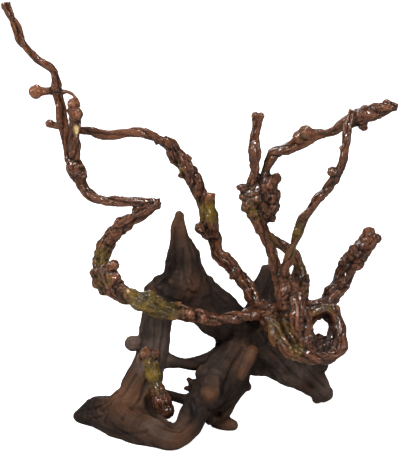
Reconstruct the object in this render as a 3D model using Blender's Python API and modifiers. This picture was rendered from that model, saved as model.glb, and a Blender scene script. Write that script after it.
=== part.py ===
"""Spiderwood root: a dark, matt stump on three feet that carries a crown of twisted, lacquered branches and a
short mossy shoot.

Every limb is drawn as a row of points, each with the limb's radius there. The drawing is made as the root is
seen from its front, so a point is (across, up, back): across and up are measured on the drawing, from the line
through the middle and from the foot of the sheet, and back is how far the point lies behind the front foot.
All are in millimetres of the drawing, and LIFE_SIZE makes them real. A limb is a few strands that twist round
its line, its knots are balls sunk into it, and what belongs to one piece is then fused into one skin.
"""

import math

import bpy
from mathutils import Matrix, Vector

# Driving dimensions
LIFE_SIZE = 0.85e-3  # metres on the root for each millimetre of the drawing
SIGHT_TILT = math.radians(15)  # how far the line of sight dips
EYE_DISTANCE = 1.60 / LIFE_SIZE  # from the eye to the aim, in drawing millimetres
AIM_UP = 223.5  # height on the drawing that the eye looks at
AIM_BACK = 70.0  # how far behind the front foot the aim lies
AIM_HEIGHT = 211.0  # height of the aim above the floor
MIDDLE = (-0.7, 70.3)  # across and back of the middle of the root's box, on the floor
SEAT_GAP = 0.00035  # metres between a branch and the seat it is set in

# Fineness of the skins, in metres and triangles
CROWN_VOXEL = 0.0012
STUMP_VOXEL = 0.0020
CROWN_TRIANGLES = 7600
STUMP_TRIANGLES = 4200
SHOOT_TRIANGLES = 560
STEP = 4.0  # drawing millimetres between the rings of a strand
STRAND_SIDES = 2  # a curve's bevel resolution, which gives eight sides

# How much of a limb's radius each of its strands has, by the number of strands
STRAND_SHARE = {1: 1.0, 2: 0.78, 3: 0.68, 4: 0.62}

# The crown: name, strands, turns of the twist, then (across, up, back, radius) along the limb
CROWN_LIMBS = (
    ("low_arm", 3, 4.5, (
        (76, 137, 94, 9), (56, 138, 84, 8), (38, 133, 72, 6.5), (20, 131, 62, 6), (3, 133, 55, 6.5),
        (-10, 135, 51, 6.5), (-22, 139, 48, 8), (-35, 141, 46, 8.5), (-50, 148, 44, 10),
        (-62, 151, 43, 10.5), (-74, 154, 43, 8.5), (-87, 163, 44, 11), (-94, 174, 46, 12),
        (-98, 187, 49, 9), (-96, 199, 51, 8.5), (-90, 210, 50, 7.5), (-80, 222, 46, 7.8),
        (-68.5, 231.5, 41, 7), (-54, 240.5, 35, 6.8), (-43, 246, 30, 6.5))),
    ("high_arm", 2, 6, (
        (-44, 247, 31, 6), (-60, 248.5, 38, 5), (-78, 248.5, 47, 4.6), (-94, 249, 55, 4.8),
        (-107, 253, 62, 5), (-116, 260, 68, 5.4), (-121, 270, 73, 6.5), (-124, 280, 78, 10),
        (-126, 288, 81, 9), (-131, 298, 83, 5.5), (-134, 310, 84, 4.6), (-136, 322, 86, 5),
        (-139, 333, 88, 5.4), (-140, 344, 90, 4.4), (-142, 353, 92, 4.8), (-144, 362, 94, 5.8),
        (-145, 373, 97, 5.4), (-148, 381, 99, 4.8), (-155, 386, 101, 4.8), (-163, 391.5, 103, 4.4),
        (-170, 398, 104, 3.6), (-177, 406, 105, 3.8), (-181.5, 416, 106, 4.9), (-187, 428, 108, 4.3),
        (-191.5, 438, 109, 4.1), (-195, 447.5, 110, 4.6))),
    ("side_strand", 2, 2, (
        (-124, 288, 76, 5.5), (-124, 300, 74, 5.3), (-123.5, 310, 73, 4.6), (-123.5, 321, 73, 4.6),
        (-123, 332, 74, 6.4), (-126, 343, 77, 5.6))),
    ("tendril", 1, 0, (
        (-121.5, 343, 77, 2.8), (-123, 350, 79, 2.6), (-127.5, 355.5, 83, 2.6), (-134, 358.5, 89, 2.6),
        (-141, 357, 94, 3))),
    ("berry_stub", 1, 0, ((-145, 360, 95, 3.6), (-153, 359.5, 92, 3.4), (-160, 359, 89, 4.6))),
    ("back_arm_twig", 1, 0, (
        (-150, 326.5, 104, 4.2), (-143, 324.5, 104, 3.8), (-132, 322, 105, 3.8), (-120, 319.5, 107, 4),
        (-108, 318.5, 109, 4.2), (-96, 315, 112, 5), (-84, 315.5, 114, 4), (-75, 317, 116, 3.8),
        (-66, 317.5, 118, 4.9), (-56, 316, 121, 4.8), (-45, 311.5, 124, 4.8), (-35, 306, 127, 5))),
    ("back_arm", 3, 5, (
        (-38, 308, 126, 5), (-33, 304, 127, 7.5), (-27, 297, 129, 8), (-19, 287, 131, 8.5),
        (-11, 277, 131, 8.5), (-4, 266, 130, 7), (1, 255, 129, 6.5), (5, 243, 128, 5.8),
        (7, 230, 126, 6), (12, 217, 124, 7), (15, 205, 121, 5.8), (18, 195, 118, 6.4),
        (26, 188, 115, 7), (34, 180, 112, 7.2), (42, 168, 108, 7), (50, 157, 103, 7.2),
        (58, 147, 97, 7.8), (68, 138, 92, 8.5))),
    ("wrapped_stub", 1, 0, (
        (11, 257, 121, 5.3), (10, 246, 120, 6.4), (11, 234, 119, 7), (13, 222, 118, 7.2),
        (14, 213, 119, 5))),
    ("trunk", 3, 2, (
        (122, 92, 55, 6), (111, 100, 58, 8), (104, 111, 61, 9), (99, 124, 65, 9.5), (95, 137, 69, 10.5),
        (90, 150, 73, 11), (85, 161, 76, 10.5), (80, 171, 79, 7.5))),
    ("stem", 2, 4, (
        (84, 163, 77, 8), (80, 171, 79, 6.8), (76, 182, 81, 5.6), (73, 193, 84, 4.9), (70, 203, 86, 5),
        (66, 213, 88, 5.4), (61, 223, 90, 6.4), (57, 233, 92, 8), (53, 244, 93, 9.5),
        (51, 254, 94, 9.5), (53, 264, 95, 7), (54, 276, 96, 5.5), (54.5, 290, 98, 6.1),
        (55.5, 305, 100, 5.4), (57, 320, 102, 4.7), (57.5, 331, 103, 4.5))),
    ("high_branch", 3, 4, (
        (62, 228, 95, 5), (64, 236, 96, 8), (68, 246, 98, 9.5), (67, 258, 100, 9.5), (67, 269, 101, 8),
        (67, 279, 103, 5.2), (69, 288, 105, 5.6), (72, 296, 106, 6.3), (80, 299, 106, 5.3),
        (90, 302.5, 104, 5.8), (99, 308, 101, 6.8), (108, 314, 98, 7.6), (118, 315.5, 95, 5.2),
        (129, 317.5, 92, 4.5), (140, 322.5, 89, 5.2), (150, 326.5, 86, 6.2), (160, 330, 84, 9.2),
        (170, 335, 81, 8.4), (180, 338.5, 78, 7), (188, 341.5, 76, 5), (195, 341.5, 74, 3.4),
        (197.5, 341.5, 73, 3.2))),
    ("fore_twig", 2, 7, (
        (90, 158, 75, 8), (86, 173, 73, 6), (87, 185, 71, 5.8), (90.5, 197, 68, 4.5), (93, 206, 66, 3.9),
        (96, 215, 64, 4.5), (99.5, 224, 61, 5.3), (104, 234, 58, 4.8), (111, 244, 55, 5.1),
        (118, 254, 52, 4.8), (126, 261, 50, 4.6), (133, 270, 49, 4.8), (139, 279, 48, 4.6),
        (143, 289, 48, 4.4), (145.5, 301, 49, 4.1), (147, 313, 51, 3.7), (148.5, 324, 54, 3.7),
        (150.5, 334, 57, 3.7), (152.5, 340.5, 59, 3.3))),
    ("right_club", 4, 3, (
        (98, 137, 86, 8), (109, 141, 95, 8), (119, 145, 102, 8), (128, 149.5, 108, 8.2),
        (135, 158, 113, 8.6), (142, 170, 118, 8.6), (149, 182, 123, 10.2), (157, 191, 127, 10),
        (166, 204.5, 132, 10.2), (173.5, 217, 137, 9.8))),
    ("back_loop", 3, 2.5, (
        (66, 217, 91, 5), (76, 209, 100, 5.2), (86, 202, 106, 5.6), (95, 194, 110, 6.6),
        (97, 184, 111, 8), (98.5, 174, 110, 9.6), (101.5, 165, 107, 10), (101, 156, 102, 9.4),
        (97, 149, 95, 8), (90, 142, 88, 8))),
    ("ring", 2, 6, (
        (67, 134, 86, 9), (74, 124, 77, 9.4), (80, 113, 69, 9.6), (89, 103, 62, 9),
        (100, 97, 56, 8), (116, 93, 53, 6.4), (130, 94, 57, 7.4), (138, 100, 66, 7.4),
        (140, 111, 77, 6.6), (139.5, 124, 86, 5.8), (136, 136, 91, 5.6), (127, 142, 92, 5.6),
        (117, 139, 88, 5.6), (110, 133, 81, 5.2), (107, 123, 73, 5), (105, 114, 66, 5))),
    ("ring_band", 1, 0, (
        (121, 138, 95, 5), (130, 131, 97, 6), (133, 121, 94, 7), (131.5, 110, 86, 7), (126, 100, 74, 6))),
    ("anchor", 1, 0, ((78, 136, 88, 10), (77, 124, 100, 9.5), (76, 112, 112, 8))),
)
# Balls sunk into the crown: (across, up, back, radius)
CROWN_KNOTS = (
    (-164, 359, 88, 7), (-121, 336, 74, 5.4), (-127.5, 346, 78, 4.6), (-128, 283, 77, 7.5),
    (-118, 276, 76, 6), (-86, 178, 42, 9.5), (-106, 175, 45, 6.8), (-93, 161, 42, 8.5),
    (-22, 146, 46, 4.6), (-43, 308, 123, 3.6), (-32, 308, 123, 5), (-18, 276, 127, 5.6),
    (-13, 291, 127, 5), (0, 221, 121, 5.6), (3, 214, 120, 5.6), (29, 191, 112, 5.6), (34, 176, 108, 6.4),
    (41.5, 259, 91, 5.6), (46, 247, 90, 7), (77, 274, 99, 4.8), (73, 241, 98, 6), (71, 232, 97, 4.8),
    (55, 334.5, 103, 4.7), (61, 334, 102, 4.3), (106, 318, 96, 6.2), (163, 325, 83, 6),
    (186, 345, 77, 4.6), (132.5, 276, 48, 4), (142.5, 298, 48, 2.8), (143, 187, 119, 6.5),
    (137, 141, 91, 4.6), (84, 184, 71, 4.6), (76, 138, 86, 11), (90, 132, 78, 10), (106, 162, 103, 5),
    (91, 118, 79, 8),
)

# The stump, drawn in the same way
STUMP_LIMBS = (
    ("peak", 3, 0.3, (
        (-20.5, 237, 98, 6), (-20.5, 224, 98, 8.6), (-19, 210, 98, 11.8), (-17.5, 198, 97, 16.8),
        (-17, 185, 96, 19.5), (-16, 170, 95, 24), (-14, 154, 95, 26))),
    ("left_shoulder", 2, 0.3, ((-14, 160, 95, 20), (-35, 160, 90, 14), (-48, 161, 86, 9.5), (-54, 163, 84, 5.5))),
    ("right_slope", 2, 0.3, (
        (-8, 159, 95, 20), (10, 148, 98, 17), (28, 136, 100, 13), (46, 130, 103, 11), (58, 128, 104, 12))),
    ("left_leg", 3, 0.4, (
        (-30, 155, 90, 17), (-40, 138, 84, 16.5), (-43.5, 120, 78, 16), (-46, 105, 73, 15.5),
        (-50, 90, 68, 16.5), (-56, 76, 62, 19), (-64, 58, 55, 20), (-72, 42, 48, 20))),
    ("left_web", 1, 0, ((-48, 66, 58, 9), (-47, 52, 54, 9), (-45, 41, 48, 9.5), (-44, 33, 40, 10))),
    ("left_foot", 3, 0.5, (
        (-124, 34.5, 92, 4.5), (-116, 36, 84, 11), (-103, 36, 73, 16), (-88, 34, 60, 20),
        (-73, 29, 45, 22), (-58, 22, 30, 20.5), (-44, 16, 18, 18.5), (-32, 11.5, 10, 16),
        (-22, 15, 13, 14.5), (-13, 24, 24, 14.5), (-7, 36, 36, 16), (3, 52, 48, 17))),
    ("right_leg", 3, 0.4, (
        (-8, 30, 32, 13.5), (-2, 42, 40, 15.5), (8, 56, 52, 17), (17, 70, 64, 18.5), (26, 84, 75, 18.5),
        (34, 97, 85, 17.5), (38, 110, 93, 17), (40, 126, 100, 18))),
    ("back_leg", 3, 0.4, (
        (46, 104, 100, 17), (40, 85, 91, 17), (33, 65, 82, 16.5), (27, 48, 72, 15), (20, 34, 64, 14))),
    ("body", 3, 0.3, ((-12, 150, 95, 22), (12, 134, 98, 20), (36, 122, 102, 20), (56, 112, 108, 22))),
    ("right_wing", 3, 0.3, (
        (48, 112, 106, 21), (65, 104, 112, 23), (80, 94, 118, 23), (95, 84, 124, 20), (108, 73, 129, 16),
        (118, 62, 133, 12.5), (128, 54, 136, 7.5))),
    ("second_peak", 2, 0.3, (
        (68, 185, 110, 6.5), (67, 172, 110, 11.5), (66, 158, 109, 16.5), (64, 140, 107, 20), (54, 120, 105, 21))),
    ("ring_horn", 2, 0.5, (
        (100, 96, 119, 15), (114, 101, 118, 13), (126, 104, 116, 9.5), (131, 110, 113, 6.5))),
    ("bar", 2, 1, ((-40, 91, 70, 9), (-25, 87, 72, 7), (-10, 86, 76, 6.6), (5, 89, 80, 7.6), (22, 97, 84, 9.5))),
    ("low_bar", 1, 0, ((-42, 58, 60, 6), (-28, 55, 65, 4.8), (-15, 52, 67, 5), (-2, 50, 60, 8))),
    ("rootlet", 1, 0, ((4, 56, 64, 5), (-4, 64, 68, 3.8), (-9, 68, 70, 3), (-12.5, 72, 71, 2.5))),
    ("rootlet_side", 1, 0, ((-3, 62, 67, 3.2), (-10, 62, 68, 3), (-16, 62.5, 69, 2.4))),
    ("rootlet_top", 1, 0, ((-4, 64, 68, 3), (-4, 70.5, 69, 2.3))),
    ("left_knob", 1, 0, ((-48, 106, 74, 9), (-60, 107, 69, 8.6), (-68, 106.5, 66, 8.2))),
    ("cut_root", 1, 0, ((14, 32, 64, 10), (24, 27, 59, 8.4), (31.5, 25, 55, 7))),
    ("rib", 1, 0, ((55, 103, 88, 6), (47, 92, 79, 7), (39, 80, 71, 6.8), (32, 68, 66, 6))),
    ("notch_spur", 1, 0, ((108, 84, 122, 11), (122, 84, 123, 7.5), (128, 82, 123, 5.4))),
)
STUMP_KNOTS = (
    (10, 62, 44, 12), (5, 50, 40, 10), (49, 63, 82, 5), (18, 108, 92, 5), (-84, 52, 56, 8),
    (-1, 196, 98, 3.6), (-45, 150, 80, 8), (120, 55, 134, 12), (127, 53.5, 137, 9.5),
)

# The shoot that stands against the left leg
SHOOT_LIMBS = (
    ("shoot", 3, 1.5, (
        (-53, 98, 56, 7.5), (-51.5, 92, 54, 8.2), (-50, 82, 52, 8), (-47.5, 71, 50, 8), (-43, 60, 48, 8.4),
        (-38.5, 49, 46, 9), (-34.5, 40, 45, 9.4))),
    ("shoot_side", 1, 0, ((-58, 98, 57, 4), (-61, 92, 56, 4), (-60.5, 84, 55, 3.4), (-56, 76, 53, 3))),
)
SHOOT_KNOTS = ((-52, 97, 52, 7.6), (-31, 39, 45, 7.6))

# Colours: base colour, roughness
LACQUERED_WOOD = ("lacquered_branch", (0.17, 0.062, 0.028, 1), 0.28)
MATT_WOOD = ("matt_stump", (0.045, 0.028, 0.021, 1), 0.72)
MOSSY_WOOD = ("mossy_shoot", (0.13, 0.085, 0.022, 1), 0.3)


def drawn(across, up, back):
    """The place on the root, in metres, of a point that the eye sees at (across, up) and that lies that far
    back. The sight line dips by SIGHT_TILT, and what is beyond the aim looks smaller."""
    sine, cosine = math.sin(SIGHT_TILT), math.cos(SIGHT_TILT)
    rise = up - AIM_UP
    beyond = (back - AIM_BACK - rise * sine) / (cosine + rise * sine / EYE_DISTANCE)
    growth = 1 + beyond / EYE_DISTANCE
    height = AIM_HEIGHT + rise * growth * cosine - beyond * sine
    return Vector((across * growth - MIDDLE[0], back - MIDDLE[1], height)) * LIFE_SIZE


def smooth_line(points):
    """Points every STEP or so on a smooth curve through a limb's drawn points, as (place, radius)."""
    ends = [points[0], *points, points[-1]]
    line = []
    for before, start, end, after in zip(ends, ends[1:], ends[2:], ends[3:]):
        count = max(1, round(math.dist(start[:3], end[:3]) / STEP))
        for i in range(count):
            t = i / count
            line.append([
                0.5 * (2 * b + (c - a) * t + (2 * a - 5 * b + 4 * c - d) * t**2 + (3 * b - a - 3 * c + d) * t**3)
                for a, b, c, d in zip(before, start, end, after)
            ])
    line.append(list(points[-1]))
    return [(drawn(*p[:3]), p[3] * LIFE_SIZE) for p in line]


def across_frames(places):
    """Two unit vectors across the line at each place, carried along without turning about it."""
    frames = []
    side = None
    for i, place in enumerate(places):
        along = (places[min(i + 1, len(places) - 1)] - places[max(i - 1, 0)]).normalized()
        if side is None:
            side = along.orthogonal()
        side = (side - along * side.dot(along)).normalized()
        frames.append((side, along.cross(side)))
    return frames


def strand_object(name, strands, turns, points):
    """A limb as a curve object: strands that twist round the limb's line."""
    line = smooth_line(points)
    frames = across_frames([place for place, _ in line])
    share = STRAND_SHARE[strands]
    curve = bpy.data.curves.new(name, "CURVE")
    curve.dimensions = "3D"
    curve.bevel_depth = 1.0
    curve.bevel_resolution = STRAND_SIDES
    curve.use_fill_caps = True
    for strand in range(strands):
        spline = curve.splines.new("POLY")
        spline.points.add(len(line) - 1)
        for i, ((place, radius), (side, other)) in enumerate(zip(line, frames)):
            angle = math.tau * (strand / strands + turns * i / len(line))
            off_line = (side * math.cos(angle) + other * math.sin(angle)) * radius * (1 - share)
            spline.points[i].co = (*(place + off_line), 1)
            spline.points[i].radius = radius * share
    return bpy.data.objects.new(name, curve)


def ball_object(name, across, up, back, radius):
    """A knot as a ball."""
    bpy.ops.mesh.primitive_ico_sphere_add(
        subdivisions=3, radius=radius * LIFE_SIZE, location=drawn(across, up, back))
    ball = bpy.context.object
    ball.name = name
    return ball


def as_mesh_object(source):
    """The evaluated shape of an object, as a mesh object of its own that replaces it."""
    if source.name not in bpy.context.scene.collection.all_objects:
        bpy.context.scene.collection.objects.link(source)
    bpy.context.view_layer.update()
    evaluated = source.evaluated_get(bpy.context.evaluated_depsgraph_get())
    mesh = bpy.data.meshes.new_from_object(evaluated)
    mesh.transform(source.matrix_world)
    name = source.name
    bpy.data.objects.remove(source)
    return bpy.data.objects.new(name, mesh)


def gathered(name, limbs, knots, collection):
    """All strands and knots of one piece, as one mesh object whose bodies still run through each other."""
    shapes = [strand_object(*limb) for limb in limbs]
    shapes += [ball_object(f"{name}_knot", *knot) for knot in knots]
    meshes = [as_mesh_object(shape) for shape in shapes]
    for shape in meshes:
        bpy.context.scene.collection.objects.link(shape)
    bpy.ops.object.select_all(action="DESELECT")
    for shape in meshes:
        shape.select_set(True)
    bpy.context.view_layer.objects.active = meshes[0]
    bpy.ops.object.join()
    piece = bpy.context.object
    piece.name = name
    return moved(piece, collection)


def fused(piece, voxel, smoothing, triangles):
    """Fuses what runs through each other into one smooth skin with about that many triangles."""
    skin = piece.modifiers.new("Fuse", "REMESH")
    skin.mode = "VOXEL"
    skin.voxel_size = voxel
    smooth = piece.modifiers.new("Soften", "SMOOTH")
    smooth.iterations = smoothing
    smooth.factor = 0.5
    bpy.context.view_layer.update()
    evaluated = piece.evaluated_get(bpy.context.evaluated_depsgraph_get())
    mesh = bpy.data.meshes.new_from_object(evaluated)
    piece.modifiers.clear()
    piece.data = mesh
    thin = piece.modifiers.new("Thin out", "DECIMATE")
    thin.use_collapse_triangulate = True
    thin.ratio = triangles / (2 * len(mesh.polygons))


def painted(piece, finish):
    """Gives a piece its own material."""
    name, colour, roughness = finish
    material = bpy.data.materials.new(name)
    material.use_nodes = True
    shader = material.node_tree.nodes["Principled BSDF"]
    shader.inputs["Base Color"].default_value = colour
    shader.inputs["Roughness"].default_value = roughness
    piece.data.materials.clear()
    piece.data.materials.append(material)


def seat_cutter(piece, collection):
    """The shape of a set-in piece, fatter all round by the seat's gap, which hollows its seat."""
    evaluated = piece.evaluated_get(bpy.context.evaluated_depsgraph_get())
    cutter = bpy.data.objects.new(f"{piece.name}_seat", bpy.data.meshes.new_from_object(evaluated))
    fatten = cutter.modifiers.new("Gap", "DISPLACE")
    fatten.strength = SEAT_GAP
    fatten.mid_level = 0.0
    return as_helper(cutter, collection)


def floor_cutter(collection):
    """A block under the floor, which gives the feet their flats."""
    side, depth = 0.6, 0.05
    bpy.ops.mesh.primitive_cube_add(size=1, location=(0, 0, -depth / 2))
    block = bpy.context.object
    block.name = "under_floor"
    block.data.transform(Matrix.Diagonal((side, side, depth, 1)))
    return as_helper(block, collection)


def as_helper(cutter, collection):
    """Keeps a cutter out of the render."""
    cutter.hide_render = True
    cutter.display_type = "WIRE"
    return moved(cutter, collection)


def moved(piece, collection):
    """Takes an object out of the collections that it is in and puts it in another."""
    for old in piece.users_collection:
        old.objects.unlink(piece)
    collection.objects.link(piece)
    return piece


def cut(piece, cutter):
    """Takes the cutter's shape out of the piece."""
    boolean = piece.modifiers.new(f"Cut {cutter.name}", "BOOLEAN")
    boolean.operation = "DIFFERENCE"
    boolean.object = cutter


def main():
    for obj in list(bpy.data.objects):
        bpy.data.objects.remove(obj)
    root = bpy.data.collections.new("spiderwood_root")
    helpers = bpy.data.collections.new("cutters")
    bpy.context.scene.collection.children.link(root)
    bpy.context.scene.collection.children.link(helpers)

    crown = gathered("branch_crown", CROWN_LIMBS, CROWN_KNOTS, root)
    fused(crown, CROWN_VOXEL, 2, CROWN_TRIANGLES)
    painted(crown, LACQUERED_WOOD)

    shoot = gathered("mossy_shoot", SHOOT_LIMBS, SHOOT_KNOTS, root)
    fused(shoot, CROWN_VOXEL, 2, SHOOT_TRIANGLES)
    painted(shoot, MOSSY_WOOD)

    stump = gathered("stump", STUMP_LIMBS, STUMP_KNOTS, root)
    fused(stump, STUMP_VOXEL, 6, STUMP_TRIANGLES)
    painted(stump, MATT_WOOD)
    cut(stump, floor_cutter(helpers))
    for piece in (crown, shoot):
        cut(stump, seat_cutter(piece, helpers))


main()
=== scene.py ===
"""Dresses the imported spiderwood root: its lacquered branches, its mossy shoot and its matt stump, on a stage.

A limb is drawn as a row of points, each with the limb's radius there, as the root is seen from its
front. A point is (across, up, back): across and up are measured on the drawing, from the line through
the middle and from the foot of the sheet, and back is how far the point lies behind the front foot. All
are in millimetres of the drawing. A limb is a few strands that twist round its line. Each piece's
strands and knots are fused into one skin, and the skin is then carved along the strands and by the
strokes listed for it.
"""

import math
from itertools import product

import bpy
import numpy as np
from bpy.props import FloatProperty, FloatVectorProperty, PointerProperty
from bpy.types import Operator, Panel, PropertyGroup
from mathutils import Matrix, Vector
from mathutils.bvhtree import BVHTree


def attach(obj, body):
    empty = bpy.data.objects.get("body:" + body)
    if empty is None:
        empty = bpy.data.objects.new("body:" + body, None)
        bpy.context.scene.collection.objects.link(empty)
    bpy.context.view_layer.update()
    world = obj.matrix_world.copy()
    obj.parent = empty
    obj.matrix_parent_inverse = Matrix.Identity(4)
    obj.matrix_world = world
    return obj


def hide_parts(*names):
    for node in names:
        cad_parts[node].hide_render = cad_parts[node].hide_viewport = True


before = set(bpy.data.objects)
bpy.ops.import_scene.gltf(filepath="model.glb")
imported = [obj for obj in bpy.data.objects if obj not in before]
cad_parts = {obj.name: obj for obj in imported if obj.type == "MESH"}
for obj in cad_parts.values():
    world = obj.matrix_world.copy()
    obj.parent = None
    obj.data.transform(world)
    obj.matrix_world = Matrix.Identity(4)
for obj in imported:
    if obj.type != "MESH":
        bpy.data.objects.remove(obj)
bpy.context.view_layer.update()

bl_info = {
    "name": "Spiderwood Root",
    "version": (1, 0, 0),
    "blender": (4, 5, 0),
    "location": "View3D > Sidebar > Root",
    "description": "Dresses a spiderwood root: its lacquered branches, mossy shoot and matt stump",
    "category": "Add Mesh",
}

# How the drawing lies in space
LIFE_SIZE = 0.85e-3  # metres on the root for each millimetre of the drawing
SIGHT_TILT = math.radians(15)  # how far the line of sight dips
EYE_DISTANCE = 1.60 / LIFE_SIZE  # from the eye to the aim, in drawing millimetres
AIM_UP = 223.5  # height on the drawing that the eye looks at
AIM_BACK = 70.0  # how far behind the front foot the aim lies
AIM_HEIGHT = 211.0  # height of the aim above the floor
MIDDLE = (-0.7, 70.3)  # across and back of the middle of the root's box, on the floor
STEP = 2.5  # drawing millimetres between the rings of a strand
STRAND_SHARE = {1: 1.0, 2: 0.80, 3: 0.70, 4: 0.64}  # a strand's part of its limb's radius, by their number
STROKE_START, STROKE_END = -300, 500  # how far back the sight line of a stroke begins and ends
CRACK_SHADE = 0.6  # how strongly a crack is painted with shade
NEAR_SHARE = 0.04  # a strand with a smaller share than this leaves no mark on the skin
FOOT_START, FOOT_FADE = 0.0002, 0.004  # metres above the floor over which the carving sets in
BRANCH_SMOOTHING, STUMP_SMOOTHING = 2, 16  # rounds

# The stage
PHOTO_HEIGHT = 453  # pixels, which the eye distance on the drawing is measured in
SENSOR_WIDTH = 36
FLOOR_SIZE, FLOOR_BACK = 14, 3  # metres
FLOOR_IN_GLOSS = (0.2, 0.2, 0.2, 1)  # the floor as the lacquer reflects it
LIGHTS = (  # name, place, size, the property with its power
    ("key_light", (-0.5, -1.0, 1.5), 0.30, "key_power"),
    ("fill_light", (1.4, -0.9, 0.7), 0.40, "fill_power"),
    ("left_light", (-1.5, -0.5, 0.9), 0.35, "fill_power"),
    ("top_light", (0.5, 0.4, 1.9), 0.30, "fill_power"),
    ("back_light", (-0.4, 1.7, 1.0), 0.80, "fill_power"),
)

# Limbs: name, strands, turns of the twist, then (across, up, back, radius) along the limb
LEFT_ARM = (
    ("low_arm", 3, 2.2, (
        (76, 137, 94, 9), (56, 138, 84, 8), (38, 133, 72, 6.5), (20, 131, 62, 6), (3, 133, 55, 6.5),
        (-10, 135, 51, 6.5), (-22, 139, 48, 8), (-35, 141, 46, 8.5), (-50, 148, 44, 10),
        (-62, 151, 43, 10.5), (-74, 154, 43, 8.5), (-87, 163, 44, 11), (-94, 174, 46, 12),
        (-98, 187, 49, 8.4), (-97, 198.5, 51, 7.6), (-91, 209, 50, 6.8), (-81, 221, 46, 6.8),
        (-68.5, 230.5, 41, 6.4), (-55.5, 238, 35, 6.2), (-45, 244, 30, 5))),
    ("corner_end", 1, 0, (
        (-66, 237, 40, 5), (-54, 243.5, 35, 6.2), (-45, 246, 31, 7), (-39.6, 246.6, 29, 6.8))),
    ("high_arm", 3, 2.5, (
        (-45, 248, 31, 5), (-60, 248.5, 38, 5), (-78, 248.5, 47, 4.6), (-94, 249, 55, 4.8),
        (-107, 253, 62, 5), (-116, 260, 68, 5.4), (-121, 270, 73, 6.5), (-124, 280, 78, 10),
        (-126, 288, 81, 9), (-131, 298, 83, 5.5), (-134, 310, 84, 4.6), (-136, 322, 86, 5),
        (-139, 333, 88, 5.4), (-140, 344, 90, 4.4), (-142, 353, 92, 4.8), (-144, 362, 94, 5.8),
        (-145, 373, 97, 5.4), (-148, 381, 99, 4.8), (-155, 386, 101, 4.8), (-163, 391.5, 103, 4.4),
        (-170, 398, 104, 3.6), (-177, 406, 105, 3.8), (-181.5, 416, 106, 4.9), (-187, 428, 108, 4.3),
        (-191.5, 438, 109, 4.1), (-195, 447.5, 110, 4.6))),
    ("side_strand", 3, 0.8, (
        (-125, 288, 76, 5.5), (-125.5, 300, 74, 5.8), (-125.5, 310, 73, 5.2), (-125.5, 321, 73, 5.2),
        (-125, 332, 74, 6.8), (-128, 343, 77, 6))),
    ("tendril", 1, 0, (
        (-121.5, 343, 77, 2.8), (-123, 350, 79, 2.6), (-127.5, 355.5, 83, 2.6), (-134, 358.5, 89, 2.6),
        (-141, 357, 94, 3))),
    ("berry_stub", 1, 0, ((-145, 359.5, 95, 5.2), (-153, 359, 92, 5), (-160, 358.5, 89, 5.6))),
)
BACK_ARM = (
    ("back_arm_twig", 3, 1, (
        (-150, 326.5, 104, 4.2), (-143, 324.5, 104, 3.8), (-132, 322, 105, 3.8), (-120, 319.5, 107, 4),
        (-108, 318.5, 109, 4.2), (-96, 315, 112, 5), (-84, 315.5, 114, 4), (-75, 317, 116, 3.8),
        (-66, 317.5, 118, 4.9), (-56, 317, 121, 5), (-45, 313.5, 124, 5.4), (-34, 308.5, 127, 5.6))),
    ("back_arm", 3, 2.6, (
        (-38, 310, 126, 6), (-32, 306, 127, 8), (-26, 298.5, 129, 8.4), (-19, 288, 131, 9),
        (-12, 277, 131, 8.8), (-4.5, 266, 130, 7.6), (0, 255, 129, 7.2), (3.5, 243, 128, 6.6),
        (6, 230, 126, 6.6), (12, 217, 124, 7), (15.5, 205, 121, 6), (19, 195, 118, 6.4),
        (27, 189.5, 115, 7), (35, 181, 112, 7.4), (43, 169.5, 108, 7.2), (51, 158, 103, 7.4),
        (58, 147, 97, 7.8), (68, 138, 92, 8.5))),
    ("wrapped_stub", 1, 0, (
        (11, 257, 121, 5.3), (10, 246, 120, 6.4), (11, 234, 119, 7), (13, 222, 118, 7.2), (14, 213, 119, 5))),
)
HUB = (
    ("trunk", 3, 0.9, (
        (122, 92, 55, 6), (113, 100, 58, 8.5), (107, 111, 61, 10), (101, 124, 65, 11), (96, 137, 69, 12),
        (90, 150, 73, 12.5), (85, 161, 76, 11), (80, 171, 79, 7.5))),
    ("right_club", 4, 0.9, (
        (98, 137, 86, 8), (109, 141, 95, 8), (119, 145, 102, 8), (128, 149.5, 108, 8.2),
        (135, 158.5, 113, 8.4), (143, 170.5, 118, 8.4), (149.5, 183, 123, 9.4), (155.5, 192.5, 127, 9.6),
        (164, 204, 132, 9.6), (169.5, 211.5, 135, 9))),
    ("back_loop", 3, 1.2, (
        (66, 217, 91, 5), (76, 209, 100, 5.2), (86, 202, 106, 5.6), (95, 194, 110, 5.8),
        (98, 185, 111, 5.6), (99, 176, 110, 7.4), (101, 166, 107, 9.4), (101, 157, 102, 9),
        (97, 149, 95, 8), (90, 142, 88, 8))),
    ("ring", 3, 2, (
        (67, 134, 86, 9), (74, 124, 77, 9.4), (80, 113, 69, 9.6), (89, 103, 62, 9), (100, 97, 56, 8),
        (116, 93, 53, 6.4), (130, 94, 57, 7.4), (138, 100, 66, 7.4), (140, 111, 77, 6.6),
        (139.5, 124, 86, 5.8), (136, 136, 91, 5.6), (127, 142, 92, 5.6), (117, 139, 88, 5.6),
        (110, 133, 81, 5.2), (107, 123, 73, 5), (105, 114, 66, 5))),
    ("ring_band", 1, 0, (
        (121, 138, 95, 5), (130, 131, 97, 6), (133, 121, 94, 7), (131.5, 110, 86, 7), (126, 100, 74, 6))),
    ("ring_floor", 1, 0, (
        (135, 115, 90, 5.5), (127, 107, 84, 6.5), (117, 104.5, 76, 6.5), (108, 108, 68, 6))),
    ("ring_corner", 1, 0, ((107, 126, 79, 5), (111, 131, 85, 5.6), (118, 136, 91, 5.6), (126, 138, 94, 5))),
    ("mossy_web", 2, 1, ((72, 138, 86, 7), (81, 126, 78, 8), (89, 115, 71, 8), (98, 104, 64, 7))),
    ("anchor", 1, 0, ((78, 136, 88, 10), (77, 124, 100, 9.5), (76, 112, 112, 8))),
)
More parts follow.
